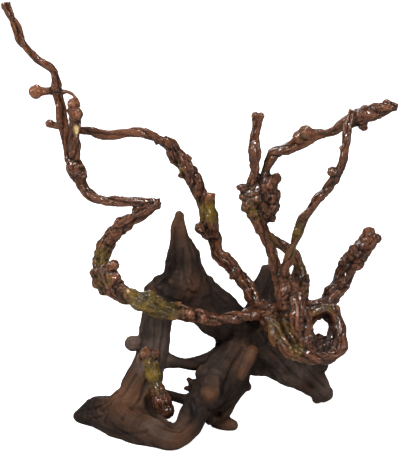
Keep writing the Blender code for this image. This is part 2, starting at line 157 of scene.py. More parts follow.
RIGHT_BRANCHES = (
    ("stem", 3, 1.2, (
        (84, 163, 77, 8), (80, 171, 79, 6.8), (76, 182, 81, 5.6), (73, 193, 84, 4.9), (70, 203, 86, 5),
        (66, 213, 88, 5.4), (61, 223, 90, 6.4), (57, 233, 92, 8), (53, 244, 93, 9.5), (51, 254, 94, 9.5),
        (52.5, 264, 95, 7.4), (53, 276, 96, 6.3), (53.5, 290, 98, 6.8), (54.8, 305, 100, 6.1),
        (56.3, 320, 102, 5.4), (57.3, 331, 103, 5))),
    ("high_branch", 3, 1.6, (
        (62, 228, 95, 5), (64, 236, 96, 8), (68, 246, 98, 9.5), (67, 258, 100, 9.5), (67, 269, 101, 8),
        (67, 279, 103, 5.2), (69, 288, 105, 5.6), (72, 296, 106, 6.3), (80, 299, 106, 5.3),
        (90, 302.5, 104, 5.8), (99, 308, 101, 6.8), (108, 314, 98, 7.6), (118, 315.5, 95, 5.2),
        (129, 317.5, 92, 4.8), (140, 322.5, 89, 5.4), (150, 327.5, 86, 6.8), (160, 330.5, 84, 9.2),
        (170, 336, 81, 8.8), (180, 340, 78, 7.6), (188, 343, 76, 6), (195, 342.5, 74, 4.2),
        (197.5, 342, 73, 3.6))),
    ("fore_twig", 3, 2.6, (
        (90, 158, 75, 8), (86, 173, 73, 6), (87, 185, 71, 5.8), (90.5, 197, 68, 4.5), (94, 206, 66, 3.9),
        (97.2, 215, 64, 4.5), (100.5, 224, 61, 5.1), (105, 233, 58, 4.8), (112, 243, 55, 5.1),
        (119, 253, 52, 4.8), (127, 260.5, 50, 4.6), (133, 270, 49, 4.8), (139, 279, 48, 4.6),
        (143, 289, 48, 4.4), (145.5, 301, 49, 4.1), (147, 313, 51, 3.7), (148.5, 324, 54, 3.7),
        (150.5, 334, 57, 3.7), (152.5, 340.5, 59, 3.3))),
)
STUMP = (
    ("peak", 3, 0.3, (
        (-20.5, 235, 98, 4.2), (-21, 224, 98, 7.6), (-18.5, 210, 98, 11), (-16.8, 198, 97, 15.6),
        (-16.5, 185, 96, 18.4), (-15, 170, 95, 23), (-14, 154, 95, 26))),
    ("left_shoulder", 2, 0.3, (
        (-14, 160, 95, 20), (-35, 160, 90, 14), (-48, 161, 86, 9.5), (-54, 163, 84, 5.5))),
    ("right_slope", 2, 0.3, (
        (-8, 159, 95, 20), (8, 151, 98, 18.5), (24, 141, 100, 16), (40, 132, 102, 12), (58, 127, 104, 12))),
    ("left_leg", 3, 0.4, (
        (-30, 155, 90, 17), (-40, 138, 84, 16.5), (-44, 120, 78, 16.8), (-46.5, 105, 73, 16.4),
        (-50, 90, 68, 16.5), (-56, 76, 62, 19), (-64, 58, 55, 20), (-72, 42, 48, 20))),
    ("left_web", 1, 0, ((-48, 66, 58, 9), (-47, 52, 54, 9), (-45, 41, 48, 9.5), (-44, 33, 40, 10))),
    ("left_foot", 3, 0.5, (
        (-124, 34.5, 92, 4.5), (-116, 36, 84, 11), (-103, 37, 73, 15.5), (-88, 35.5, 60, 19.5),
        (-73, 30.5, 45, 21.5), (-58, 23, 30, 20), (-44, 16, 18, 18.5), (-31, 10.5, 10, 15.5),
        (-22, 13.5, 13, 13.2), (-13, 23, 24, 13.8), (-7, 36, 36, 16), (3, 52, 48, 17))),
    ("right_leg", 1, 0, (
        (-8, 30, 32, 13.8), (-2, 42, 40, 16), (8, 56, 52, 17.5), (17, 70, 64, 19), (26, 84, 75, 19),
        (34, 97, 85, 18), (38, 110, 93, 17.5), (40, 126, 100, 18.5))),
    ("back_leg", 3, 0.4, (
        (46, 104, 100, 17), (39, 85, 91, 16.5), (31, 66, 82, 15.5), (23, 50, 72, 13), (15, 36, 64, 12))),
    ("body", 3, 0.3, ((-12, 150, 95, 22), (12, 134, 98, 20), (36, 122, 102, 20), (56, 112, 108, 22))),
    ("right_wing", 3, 0.3, (
        (48, 112, 106, 21), (65, 104, 112, 23), (80, 93.5, 118, 23.5), (95, 83.5, 124, 21),
        (108, 73, 129, 17), (118, 63, 133, 13), (127, 56, 136, 7.5))),
    ("crotch_web", 1, 0, ((38, 92, 92, 14), (52, 88, 104, 14), (68, 86, 114, 14), (84, 82, 118, 14))),
    ("second_peak", 2, 0.3, (
        (68, 185, 110, 6.5), (67, 172, 110, 11.5), (66, 158, 109, 16.5), (64, 140, 107, 20),
        (54, 120, 105, 21))),
    ("ring_horn", 2, 0.5, (
        (100, 96, 119, 15), (114, 101, 118, 13), (126, 104, 116, 9.5), (131, 110, 113, 6.5))),
    ("bar", 2, 1, (
        (-40, 91, 70, 9), (-25, 87, 72, 7), (-10, 86, 76, 6.6), (5, 89, 80, 7.6), (22, 97, 84, 9.5))),
    ("low_bar", 1, 0, ((-42, 58, 60, 6), (-28, 54, 65, 5.6), (-15, 50.5, 67, 6.4), (-2, 50, 60, 8))),
    ("rootlet", 1, 0, ((6, 54, 62, 6), (-3, 63, 67, 5), (-9, 68, 69, 3.6), (-13, 72.5, 71, 2.8))),
    ("rootlet_side", 1, 0, ((-2, 61, 66, 4.2), (-10, 61.5, 68, 3.6), (-17, 62, 69, 2.8))),
    ("rootlet_top", 1, 0, ((-4, 63, 68, 3.8), (-3.5, 71.5, 69, 2.6))),
    ("left_knob", 1, 0, ((-48, 106, 74, 9), (-60, 107, 69, 8.6), (-68, 106.5, 66, 8.2))),
    ("cut_root", 1, 0, ((14, 32, 64, 10), (24, 27, 59, 8.4), (31.5, 25, 55, 7))),
    ("rib", 1, 0, ((55, 103, 80, 6), (51, 96, 75, 7.4), (45, 84, 68, 7.4), (37, 71, 62, 7))),
    ("notch_spur", 1, 0, ((108, 84, 122, 11), (122, 84, 123, 7.5), (128, 82, 123, 5.4))),
)
SHOOT = (
    ("shoot", 1, 0, (
        (-51, 97, 52, 7), (-50, 90, 50, 7.6), (-48.5, 80, 48, 8.2), (-46, 70, 46, 8.9),
        (-42.5, 59, 44.5, 9.8), (-38.5, 49, 43, 10.2), (-35.5, 41, 42, 9.6))),
    ("shoot_side", 1, 0, (
        (-55, 98, 54, 4.6), (-59.5, 94, 55, 4.4), (-60.5, 86, 54, 3.4), (-57, 78, 51, 3))),
)

# Knots, balls sunk into the limbs: (across, up, back, radius), with a last 0 for a ball without lobes
LEFT_ARM_KNOTS = (
    (-194.3, 443.8, 110, 5.0, 0), (-164, 358.3, 88, 7.7, 0), (-123.5, 335.5, 70, 8, 0),
    (-127, 345.5, 75, 6.8, 0), (-128, 283, 77, 7.5), (-118, 276, 76, 6), (-86.5, 184.5, 41, 6.6, 0),
    (-85.5, 172.5, 39, 8, 0), (-105, 177, 44, 7, 0), (-102, 168, 42, 7.5, 0), (-97, 160, 42, 6, 0),
    (-93, 161, 42, 8.5), (-22, 146, 44, 4.6), (-9, 136, 46, 6, 0), (3, 131.5, 50, 6, 0),
)
BACK_ARM_KNOTS = (
    (-150.5, 326.5, 104, 5, 0), (-43, 308, 123, 3.6), (-32, 308, 123, 5), (-18, 276, 127, 5.6),
    (-13, 291, 127, 5), (1.5, 221.5, 119, 7.4, 0), (7, 215, 119, 6.5, 0), (29, 191, 112, 5.6),
    (34, 176, 108, 6.4), (37, 181, 108, 6),
)
HUB_KNOTS = (
    (143, 187, 119, 6.5), (137, 141, 91, 4.6), (76, 138, 86, 11), (90, 132, 78, 10),
    (103.5, 168, 106, 8.6, 0), (120, 112, 85, 6, 0), (91, 118, 79, 8), (168, 208, 134, 11, 0),
    (169, 217, 136, 7.5, 0), (175, 211, 137, 7, 0), (153, 199, 122, 7), (139, 168, 113, 7.5),
    (97, 152, 72, 8), (104, 122, 62, 8), (120, 91, 57, 6.5), (134, 97, 62, 7),
)
RIGHT_BRANCH_KNOTS = (
    (43, 262, 91, 6.4), (45, 254, 91, 7, 0), (48, 245, 90, 8.5), (53, 236, 91, 8, 0), (54, 253, 90, 8.5, 0),
    (76.5, 272, 99, 6.2, 0), (70, 266, 98, 9.5), (72.5, 254, 98, 9.6, 0), (72.5, 243, 98, 8.5),
    (70, 233, 97, 7, 0), (62, 262, 94, 7, 0), (62, 247, 94, 8, 0), (55, 334.5, 103, 4.7, 0),
    (61, 334, 102, 4.3, 0), (106, 317.5, 94, 7.6, 0), (99.5, 313, 95, 7.4, 0), (163, 325, 83, 6),
    (186, 347, 77, 5), (132.5, 276, 48, 4), (142, 302, 48, 3.2, 0), (132, 278.5, 46, 5, 0),
    (136, 270, 47, 5, 0), (98, 219, 60, 5.2, 0), (84, 184, 71, 4.6),
)
STUMP_KNOTS = (
    (10, 64, 46, 12.5, 0), (9, 55, 36, 11.5, 0), (25, 84, 66, 11, 0), (-8, 49, 44, 10, 0),
    (4, 76, 58, 9, 0), (49, 63, 82, 5), (18, 108, 92, 5), (-84, 52, 56, 8), (-45, 150, 80, 8),
    (120, 58, 134, 11.5), (126, 56, 137, 9), (-10, 209, 97, 4.5, 0), (-4, 197, 97, 6, 0),
    (8, 168, 97, 8, 0), (-20.5, 234, 98, 5.4, 0), (-39, 168, 90, 9.5, 0), (-67.5, 106.5, 66, 9.2, 0),
    (10, 32, 56, 9), (33, 25, 55, 6.2, 0), (-32, 188, 96, 5, 0),
)
SHOOT_KNOTS = ((-53, 97, 50, 7.6, 0), (-47, 95.5, 50, 6.8, 0), (-34, 40, 42, 9, 0), (-31.5, 38, 42, 7, 0))

# Patches where the skin is of another kind: by kind, (across, up, back, reach, strength)
BRANCH_PATCHES = {
    "warty": (
        (-96, 199, 51, 22, 1.0), (-84, 218, 47, 16, 0.7), (-100, 180, 46, 14, 1.0), (-90, 165, 44, 14, 0.8),
        (50, 250, 93, 16, 0.8), (66, 250, 98, 18, 0.7), (155, 195, 125, 30, 0.6), (120, 150, 100, 22, 0.5),
        (90, 130, 70, 28, 0.3),
    ),
    "moss": (
        (-52, 149, 43, 24, 1.0), (-34, 142, 45, 14, 0.9), (-96, 172, 46, 16, 0.6), (-98, 194, 49, 14, 0.6),
        (11, 238, 119, 15, 0.7), (50, 240, 90, 16, 0.45), (92, 200, 68, 12, 0.4), (97, 220, 60, 11, 0.8),
        (80, 118, 70, 22, 0.42), (99, 182, 110, 14, 0.4), (-120, 283, 76, 12, 0.3),
        (-19, 280, 128, 12, 0.4), (96, 99, 58, 14, 0.45), (103, 316, 95, 10, 0.5), (76, 134, 88, 12, 0.4),
        (84, 116, 66, 12, 0.35), (103, 160, 106, 12, 0.6), (72, 212, 96, 12, 0.5),
    ),
    # Darker patches: painted shade in the back loop's hollow and inside the ring, and a darker tone on the fore
    # twig and the stem
    "dark": (
        (94, 178, 106, 12, 0.6), (97, 172, 115, 12, 0.7), (121, 106, 80, 14, 0.8), (0, 218, 121, 8, 0.25),
        (132, 122, 95, 12, 0.7), (100, 224, 62, 26, 0.35), (136, 276, 48, 34, 0.35),
        (50, 252, 88, 16, 0.25),
    ),
    "copper": (
        (-164, 359, 88, 9, 1.0), (-124, 345, 77, 9, 0.7), (106, 316, 97, 12, 0.6), (58, 333, 103, 8, 0.1),
        (11, 254, 120, 6, 0.8), (168, 210, 133, 14, 0.35), (-70, 318, 114, 20, 0.3),
    ),
    "smooth": (
        (-164, 359, 88, 9, 1.0), (103, 316, 96, 13, 1.0), (-104, 318, 110, 26, 0.9),
        (-66, 318, 118, 26, 0.9), (58, 333, 103, 8, 1.0), (11, 255, 120, 8, 0.7),
    ),
}
SHOOT_PATCHES = {
    "moss": ((-48.5, 75, 42, 18, 0.8),),
    "smooth": ((-45, 65, 45, 60, 0.25),),
}
STUMP_PATCHES = {
    "copper": (
        (-20, 226, 92, 17, 0.5), (-5, 163, 76, 13, 0.45), (-74, 52, 42, 22, 0.9), (-55, 78, 50, 16, 0.4),
        (-20, 14, -2, 18, 0.6), (-14, 24, 8, 12, 0.5), (-50, 22, 12, 22, 0.3), (52, 96, 70, 12, 0.9),
        (42, 78, 60, 12, 0.6), (11, 56, 26, 11, 0.8), (29, 26, 54, 12, 0.5), (122, 58, 130, 20, 0.55),
        (100, 70, 120, 18, 0.3), (-10, 89, 72, 18, 0.1), (-90, 50, 48, 18, 0.55), (-66, 40, 28, 20, 0.45),
    ),
    # On the stump the moss patches lay a lighter grey-brown: painted light on the left leg, grey-brown patches
    # elsewhere
    "moss": (
        (-46, 112, 60, 30, 1.0), (-45, 88, 55, 20, 0.9), (-66, 106, 60, 10, 0.55), (122, 58, 128, 20, 0.8),
        (94, 82, 106, 34, 0.5), (46, 90, 78, 14, 0.5), (16, 72, 44, 12, 0.35), (-30, 18, 4, 26, 0.35),
    ),
    "warty": ((-112, 38, 66, 20, 1.0),),
    # Darker patches: painted shade in the stump's recesses and beside the shoot, and the blackish tip of the
    # left foot
    "dark": (
        (66, 165, 104, 26, 0.5), (-15, 88, 68, 22, 0.6), (56, 108, 92, 14, 0.3), (-28, 48, 50, 16, 0.8),
        (-20, 160, 74, 10, 0.4), (-114, 38, 68, 26, 1.0), (-96, 34, 52, 10, 0.5), (-10, 48, 32, 17, 0.95),
        (2, 74, 50, 12, 0.5), (22, 96, 64, 13, 0.6), (14, 84, 56, 9, 0.4), (-48, 36, 34, 12, 0.7),
        (60, 130, 92, 18, 0.6), (30, 150, 90, 26, 0.6), (-10, 89, 72, 20, 0.6), (22, 66, 50, 10, 0.3),
    ),
}


# Drawing to space

def drawn(across, up, back):
    """The place on the root, in metres, of a point that the eye sees at (across, up) and that lies that far
    back. The sight line dips by SIGHT_TILT, and what is beyond the aim looks smaller."""
    sine, cosine = math.sin(SIGHT_TILT), math.cos(SIGHT_TILT)
    rise = up - AIM_UP
    beyond = (back - AIM_BACK - rise * sine) / (cosine + rise * sine / EYE_DISTANCE)
    growth = 1 + beyond / EYE_DISTANCE
    height = AIM_HEIGHT + rise * growth * cosine - beyond * sine
    return Vector((across * growth - MIDDLE[0], back - MIDDLE[1], height)) * LIFE_SIZE


def smooth_line(points):
    """Places and radii every STEP or so on a smooth curve through a limb's drawn points."""
    ends = [points[0], *points, points[-1]]
    line = []
    for before, start, end, after in zip(ends, ends[1:], ends[2:], ends[3:]):
        count = max(1, round(math.dist(start[:3], end[:3]) / STEP))
        for i in range(count):
            t = i / count
            line.append([
                0.5 * (2 * b + (c - a) * t + (2 * a - 5 * b + 4 * c - d) * t**2
                       + (3 * b - a - 3 * c + d) * t**3)
                for a, b, c, d in zip(before, start, end, after)
            ])
    line.append(list(points[-1]))
    places = np.array([drawn(*p[:3]) for p in line])
    return places, np.array([p[3] for p in line]) * LIFE_SIZE


def across_frames(places):
    """The direction of a line at each place and two unit vectors across it, carried along without turning."""
    along = np.gradient(places, axis=0)
    along /= np.linalg.norm(along, axis=1)[:, None]
    side = np.array(Vector(along[0]).orthogonal())
    sides = []
    for direction in along:
        side = side - direction * side.dot(direction)
        side = side / np.linalg.norm(side)
        sides.append(side)
    sides = np.array(sides)
    return along, sides, np.cross(along, sides)


# Noise

def hashed(cells, seed):
    """A number from 0 to 1 for each whole-numbered cell."""
    mixed = (cells[..., 0] * 73856093) ^ (cells[..., 1] * 19349663) ^ (cells[..., 2] * 83492791)
    mixed = (mixed ^ (seed * 374761393)) & 0xFFFFFFFF
    mixed = ((mixed ^ (mixed >> 15)) * 2246822519) & 0xFFFFFFFF
    mixed = ((mixed ^ (mixed >> 13)) * 3266489917) & 0xFFFFFFFF
    return ((mixed ^ (mixed >> 16)) & 0xFFFF) / 0xFFFF


def cloud(points, seed):
    """Smooth noise from 0 to 1 with one knot for each unit."""
    cells = np.floor(points).astype(np.int64)
    part = points - cells
    part = part * part * (3 - 2 * part)
    total = np.zeros(len(points))
    for corner in product((0, 1), repeat=3):
        share = np.prod(np.where(np.array(corner) == 1, part, 1 - part), axis=1)
        total += share * hashed(cells + np.array(corner), seed)
    return total


def ridges(points, seed):
    """Noise from 0 to 1 that is 1 along thin winding lines."""
    return 1 - np.abs(2 * cloud(points, seed) - 1)


def pebbles(points, seed):
    """Distance to the nearest of scattered seeds, about one for each unit cell."""
    cells = np.floor(points).astype(np.int64)
    nearest = np.full(len(points), 9.0)
    for corner in product((-1, 0, 1), repeat=3):
        cell = cells + np.array(corner)
        place = cell + np.stack([hashed(cell, seed + axis) for axis in range(3)], axis=1)
        nearest = np.minimum(nearest, np.sum((place - points) ** 2, axis=1))
    return np.sqrt(nearest)


# Modelling

def select_only(*objects):
    """Selects just these objects and makes the first the active one."""
    bpy.ops.object.select_all(action="DESELECT")
    for obj in objects:
        obj.select_set(True)
    bpy.context.view_layer.objects.active = objects[0]


def wander(run, phase):
    """A slow irregular swing between -1 and 1 along a limb."""
    return 0.6 * np.sin(run / 19 + phase * 2.1) + 0.4 * np.sin(run / 8.7 + phase * 5.3 + 1)


def limb_strands(limb, sway, plumpness):
    """The strands of a limb: the places along each and its radii there."""
    name, strands, turns, points = limb
    places, radii = smooth_line(points)
    along, sides, others = across_frames(places)
    radii = radii * (plumpness if strands > 1 else 1)
    share = STRAND_SHARE[strands]
    run = np.arange(len(places)) * STEP
    made = []
    for strand in range(strands):
        phase = points[0][0] + strand * 1.7
        angle = math.tau * (strand / strands + turns * run / run[-1]) + 1.2 * sway * wander(run, phase)
        off = (1 - share) * radii * (1 + 0.4 * sway * wander(run * 0.8, phase + 3))
        centre = places + (sides * np.cos(angle)[:, None] + others * np.sin(angle)[:, None]) * off[:, None]
        swell = 0.13 * wander(run * 1.3, phase + 7) + 0.12 * wander(run * 4.3, phase + 11)
        made.append((centre, radii * share * (1 + sway * swell)))
    return made


def tubes(name, strands):
    """A curve object with a round tube for each strand, made a mesh."""
    curve = bpy.data.curves.new(name, "CURVE")
    curve.dimensions = "3D"
    curve.bevel_depth = 1.0
    curve.bevel_resolution = 3
    curve.use_fill_caps = True
    for places, radii in strands:
        spline = curve.splines.new("POLY")
        spline.points.add(len(places) - 1)
        for point, place, radius in zip(spline.points, places, radii):
            point.co = (*place, 1)
            point.radius = radius
    obj = bpy.data.objects.new(name, curve)
    bpy.context.scene.collection.objects.link(obj)
    select_only(obj)
    bpy.ops.object.convert(target="MESH")
    return bpy.context.object


def ball(place, radius):
    """A ball, as the start of a knot."""
    bpy.ops.mesh.primitive_ico_sphere_add(subdivisions=3, radius=radius, location=place)
    bpy.ops.object.transform_apply(location=True, rotation=True, scale=True)
    return bpy.context.object


def knot(across, up, back, radius, lobes=5):
    """A knot: a ball with smaller lobes round it."""
    middle, radius = drawn(across, up, back), radius * LIFE_SIZE
    balls = [ball(middle, radius * (0.9 if lobes else 1))]
    for lobe in range(lobes):
        turn = across * 1.3 + up + lobe * 2.4
        rise = 1 - 2 * (lobe + 0.5) / lobes
        flat = math.sqrt(1 - rise * rise)
        way = Vector((flat * math.cos(turn), flat * math.sin(turn), rise))
        size = 0.52 + 0.14 * math.sin(turn * 3.1)
        balls.append(ball(middle + way * radius * 0.55, radius * size))
    return balls


def apply_modifier(kind, **settings):
    """Adds a modifier to the active object and applies it."""
    bpy.ops.object.modifier_add(type=kind)
    modifier = bpy.context.object.modifiers[-1]
    for key, value in settings.items():
        setattr(modifier, key, value)
    bpy.ops.object.modifier_apply(modifier=modifier.name)


def fused(name, limbs, knots, voxel, smoothing, sway=1.0, plumpness=1.21):
    """One skin over limbs and knots, and the strands that it was made from."""
    strands = [strand for limb in limbs for strand in limb_strands(limb, sway, plumpness)]
    parts = [tubes(name, strands)] + [part for drawn_knot in knots for part in knot(*drawn_knot)]
    select_only(*parts)
    bpy.ops.object.join()
    piece = bpy.context.object
    piece.name = name
    piece.data.name = name
    apply_modifier("REMESH", mode="VOXEL", voxel_size=voxel)
    apply_modifier("SMOOTH", iterations=smoothing, factor=0.5)
    return piece, strands


def vertex_values(mesh, what):
    """One vector for each vertex: its place or its normal."""
    values = np.empty(len(mesh.vertices) * 3)
    mesh.vertices.foreach_get(what, values)
    return values.reshape(-1, 3)


def neighbour_mean(values, edges, rounds):
    """Values at the vertices after each was averaged with its neighbours, some rounds over."""
    count = len(values)
    first, second = edges[:, 0], edges[:, 1]
    degree = np.bincount(first, minlength=count) + np.bincount(second, minlength=count)
    for _ in range(rounds):
        columns = [
            np.bincount(first, values[second, i], count) + np.bincount(second, values[first, i], count)
            for i in range(values.shape[1])
        ]
        values = 0.5 * values + 0.5 * np.stack(columns, axis=1) / degree[:, None]
    return values


def strand_places(places, strands):
    """How near each vertex is to each strand, in strand radii, and where it lies along and round it."""
    nearness = np.empty((len(places), len(strands)))
    thickness = np.empty((len(places), len(strands)))
    local = []
    for number, (centre, radii) in enumerate(strands):
        along, sides, others = across_frames(centre)
        arc = np.concatenate([[0], np.cumsum(np.linalg.norm(np.diff(centre, axis=0), axis=1))])
        apart = (places**2).sum(axis=1)[:, None] - 2 * places @ centre.T + (centre**2).sum(axis=1)[None, :]
        ring = apart.argmin(axis=1)
        off = places - centre[ring]
        beyond = (off * along[ring]).sum(axis=1)
        off -= along[ring] * beyond[:, None]
        nearness[:, number] = np.sqrt(np.maximum(apart.min(axis=1), 0)) / radii[ring]
        thickness[:, number] = radii[ring]
        local.append(np.stack([
            (off * sides[ring]).sum(axis=1), (off * others[ring]).sum(axis=1), arc[ring] + beyond,
        ], axis=1))
    return nearness, thickness[np.arange(len(places)), nearness.argmin(axis=1)], local


def patch_mask(places, patches, kind):
    """How strongly a kind of patch shows at each vertex, from 0 to 1."""
    mask = np.zeros(len(places))
    for across, up, back, reach, strength in patches.get(kind, ()):
        apart = np.linalg.norm(places - np.array(drawn(across, up, back)), axis=1)
        mask = np.maximum(mask, strength * np.exp(-((apart / (reach * LIFE_SIZE)) ** 2)))
    return mask


def stroke_masks(piece, places, strokes):
    """The height in metres that strokes add at each vertex, and how strongly each kind of paint covers it."""
    height = np.zeros(len(places))
    paint = {kind: np.zeros(len(places)) for kind in ("moss", "copper", "dark", "pale")}
    tree = BVHTree.FromPolygons(
        [Vector(place) for place in places], [face.vertices[:] for face in piece.data.polygons])
    rows = ((kind, *row) for kind, group in strokes.items() for row in group)
    for kind, width, depth, *points in rows:
        hits = []
        for across, up in points:
            near, far = drawn(across, up, STROKE_START), drawn(across, up, STROKE_END)
            hit = tree.ray_cast(near, (far - near).normalized())[0]
            if hit is not None:
                hits.append(np.array(hit))
        if not hits:
            continue
        hits = hits if len(hits) > 1 else hits * 2
        reach = width * LIFE_SIZE
        apart = np.full(len(places), 1.0)
        for start, end in zip(hits, hits[1:]):
            span = end - start
            part = np.clip((places - start) @ span / max(span @ span, 1e-12), 0, 1)
            apart = np.minimum(apart, np.linalg.norm(places - start - part[:, None] * span, axis=1))
        mark = np.exp(-((apart / reach) ** 2))
        if kind in ("crack", "ridge"):
            height += mark * depth * LIFE_SIZE * (-1 if kind == "crack" else 1)
        # A crack gets painted shade as well as its groove
        if kind == "crack":
            paint["dark"] = np.maximum(paint["dark"], mark * CRACK_SHADE)
        if kind in paint:
            paint[kind] = np.maximum(paint[kind], mark * depth)
    return height, paint


def strand_relief(local, shares, depths, seed):
    """Fibres along the strands, wrinkles across them and gnarls, at each vertex, from 0 to 1."""
    fibre, wrinkle, gnarl = np.zeros((3, len(shares)))
    thin, long = depths["fibre_width"], depths["fibre_length"]
    wide, stretch = depths["gnarl_width"], depths["stretch"]
    for number, where in enumerate(local):
        on = shares[:, number] > NEAR_SHARE
        if not on.any():
            continue
        spot, share, own = where[on], shares[on, number], seed + number
        fine = ridges(spot / (thin, thin, long), own)
        finer = ridges(spot / (thin * 0.5, thin * 0.5, long * 0.6), own + 50)
        ringed = ridges(spot / (thin * 3, thin * 3, thin * 1.1), own + 90)
        bulges = 1 - ridges(spot / (wide, wide, wide * stretch), own + 130)
        bumps = 1 - ridges(spot / (wide * 0.5, wide * 0.5, wide * stretch * 0.5), own + 170)
        gnarl[on] += share * (0.62 * bulges**0.8 + 0.38 * bumps)
        fibre[on] += share * (0.65 * fine + 0.35 * finer)
        wrinkle[on] += share * ringed
    whole = shares.sum(axis=1)
    return fibre / whole, wrinkle / whole, gnarl / whole


def skin_rise(places, relief, thickness, patches, depths, seed):
    """How far each vertex moves out, in metres, for the fibres, wrinkles, warts, gnarls and lumps."""
    fibre, wrinkle, gnarl = relief
    warty = patch_mask(places, patches, "warty")
    stout = np.clip(thickness / depths["stout"], 0.35, 1.3)
    streaks = cloud(places / depths["lump_width"] * 0.6, seed + 240)
    bent = places + depths["gnarl_width"] * 0.5 * (np.stack(
        [cloud(places / depths["gnarl_width"], seed + 250 + axis) for axis in range(3)], axis=1) - 0.5)
    warts = np.clip(1 - pebbles(bent / depths["wart_width"], seed + 210) / 0.62, 0, 1) ** 1.2
    pimples = np.clip(1 - pebbles(places / (depths["wart_width"] * 0.55), seed + 230) / 0.6, 0, 1)
    rise = -depths["fibre"] * (1 - 0.6 * warty) * fibre**3 * (0.4 + 0.6 * stout)
    wrinkled = np.clip(warty * 0.7 + np.clip(streaks * 3 - 1.4, 0, 1), 0, 1)
    rise -= depths["wrinkle"] * wrinkled * wrinkle**4 * stout
    warted = np.clip(warty + streaks - 0.2, 0, 1)
    rise += depths["wart"] * (0.3 + 0.7 * warty) * (warts + 0.5 * pimples) * warted
    rise += depths["gnarl"] * (gnarl - 0.45) * stout * (0.8 + 0.4 * warty)
    rise += depths["lump"] * (cloud(places / depths["lump_width"], seed + 200) - 0.5) * stout
    return rise * (1 - 0.85 * patch_mask(places, patches, "smooth"))


def dents(mesh, shaped, edges, depths):
    """How hollow each vertex lies among its neighbours, below 0 on a crest."""
    normals = vertex_values(mesh, "normal")
    near_dent = ((neighbour_mean(shaped, edges, 3) - shaped) * normals).sum(axis=1)
    wide_dent = ((neighbour_mean(shaped, edges, 14) - shaped) * normals).sum(axis=1)
    dent = near_dent / depths["near_dent"] + wide_dent / depths["wide_dent"]
    return neighbour_mean(dent[:, None], edges, 1)[:, 0]


def carve(piece, strands, patches, strokes, depths, seed):
    """Carves fibres, wrinkles and warts into a skin and stores what its material reads."""
    mesh = piece.data
    places = vertex_values(mesh, "co")
    normals = vertex_values(mesh, "normal")
    edges = np.empty(len(mesh.edges) * 2, dtype=np.int32)
    mesh.edges.foreach_get("vertices", edges)
    edges = edges.reshape(-1, 2)
    nearness, thickness, local = strand_places(places, strands)
    shares = np.exp(-(nearness - nearness.min(axis=1)[:, None]) * 16)
    relief = strand_relief(local, shares, depths, seed)
    rise = skin_rise(places, relief, thickness, patches, depths, seed)
    seams = np.sort(nearness, axis=1)[:, :2]
    seam = np.exp(-(((seams[:, 1] - seams[:, 0]) / 0.14) ** 2)) if nearness.shape[1] > 1 else 0
    rise -= depths["seam"] * seam
    height, paint = stroke_masks(piece, places, strokes)
    rise += height
    rise *= np.clip((places[:, 2] - FOOT_START) / FOOT_FADE, 0, 1)
    shaped = places + normals * rise[:, None]
    shaped[:, 2] = np.maximum(shaped[:, 2], 0)
    mesh.vertices.foreach_set("co", shaped.ravel())
    mesh.update()

    dent = dents(mesh, shaped, edges, depths)
    # The hollow mark carries painted shade: the material darkens the creases and the seams between strands with
    # it
    marks = {"hollow": np.clip(dent, 0, 1) * 0.8 + 0.3 * seam, "crest": np.clip(-dent, 0, 1)}
    for name, painted in paint.items():
        marks[name] = np.maximum(patch_mask(places, patches, name), painted)
    for name, values in marks.items():
        mark = mesh.attributes.new(name, "FLOAT", "POINT")
        mark.data.foreach_set("value", np.clip(values, 0, 1).astype(np.float32))
    closest = nearness.argmin(axis=1)
    grain_place = np.stack(local, axis=1)[np.arange(len(places)), closest]
    grain_place[:, 2] += closest * 0.5
    mark = mesh.attributes.new("grain_place", "FLOAT_VECTOR", "POINT")
    mark.data.foreach_set("vector", grain_place.astype(np.float32).ravel())


# Materials

def node(tree, kind, values=None, **settings):
    """Adds a node with its settings, and gives its inputs a value or a link each."""
    made = tree.nodes.new(kind)
    for key, value in settings.items():
        setattr(made, key, value)
    for socket, value in (values or {}).items():
        if isinstance(value, bpy.types.NodeSocket):
            tree.links.new(value, made.inputs[socket])
        else:
            made.inputs[socket].default_value = value
    return made


def mixed(tree, amount, first, second):
    """A mix of two colours. Sockets 6 and 7 are the mix node's colour inputs, and output 2 is its colour."""
    return node(tree, "ShaderNodeMix", {0: amount, 6: first, 7: second}, data_type="RGBA").outputs[2]


def math_node(tree, operation, *values, clamp=False):
    """The result of a calculation with values or links."""
    made = node(tree, "ShaderNodeMath", dict(enumerate(values)), operation=operation, use_clamp=clamp)
    return made.outputs[0]


def remap(tree, value, low, high):
    """The value stretched so that low becomes 0 and high becomes 1."""
    return node(tree, "ShaderNodeMapRange", {"Value": value, "From Min": low, "From Max": high}).outputs[0]


def new_group(name, inputs, outputs):
    """An empty shader group with its named sockets."""
    tree = bpy.data.node_groups.new(name, "ShaderNodeTree")
    for socket, kind, default in inputs:
        made = tree.interface.new_socket(socket, in_out="INPUT", socket_type=kind)
        made.default_value = default
    for socket, kind in outputs:
        tree.interface.new_socket(socket, in_out="OUTPUT", socket_type=kind)
    return tree, tree.nodes.new("NodeGroupInput"), tree.nodes.new("NodeGroupOutput")


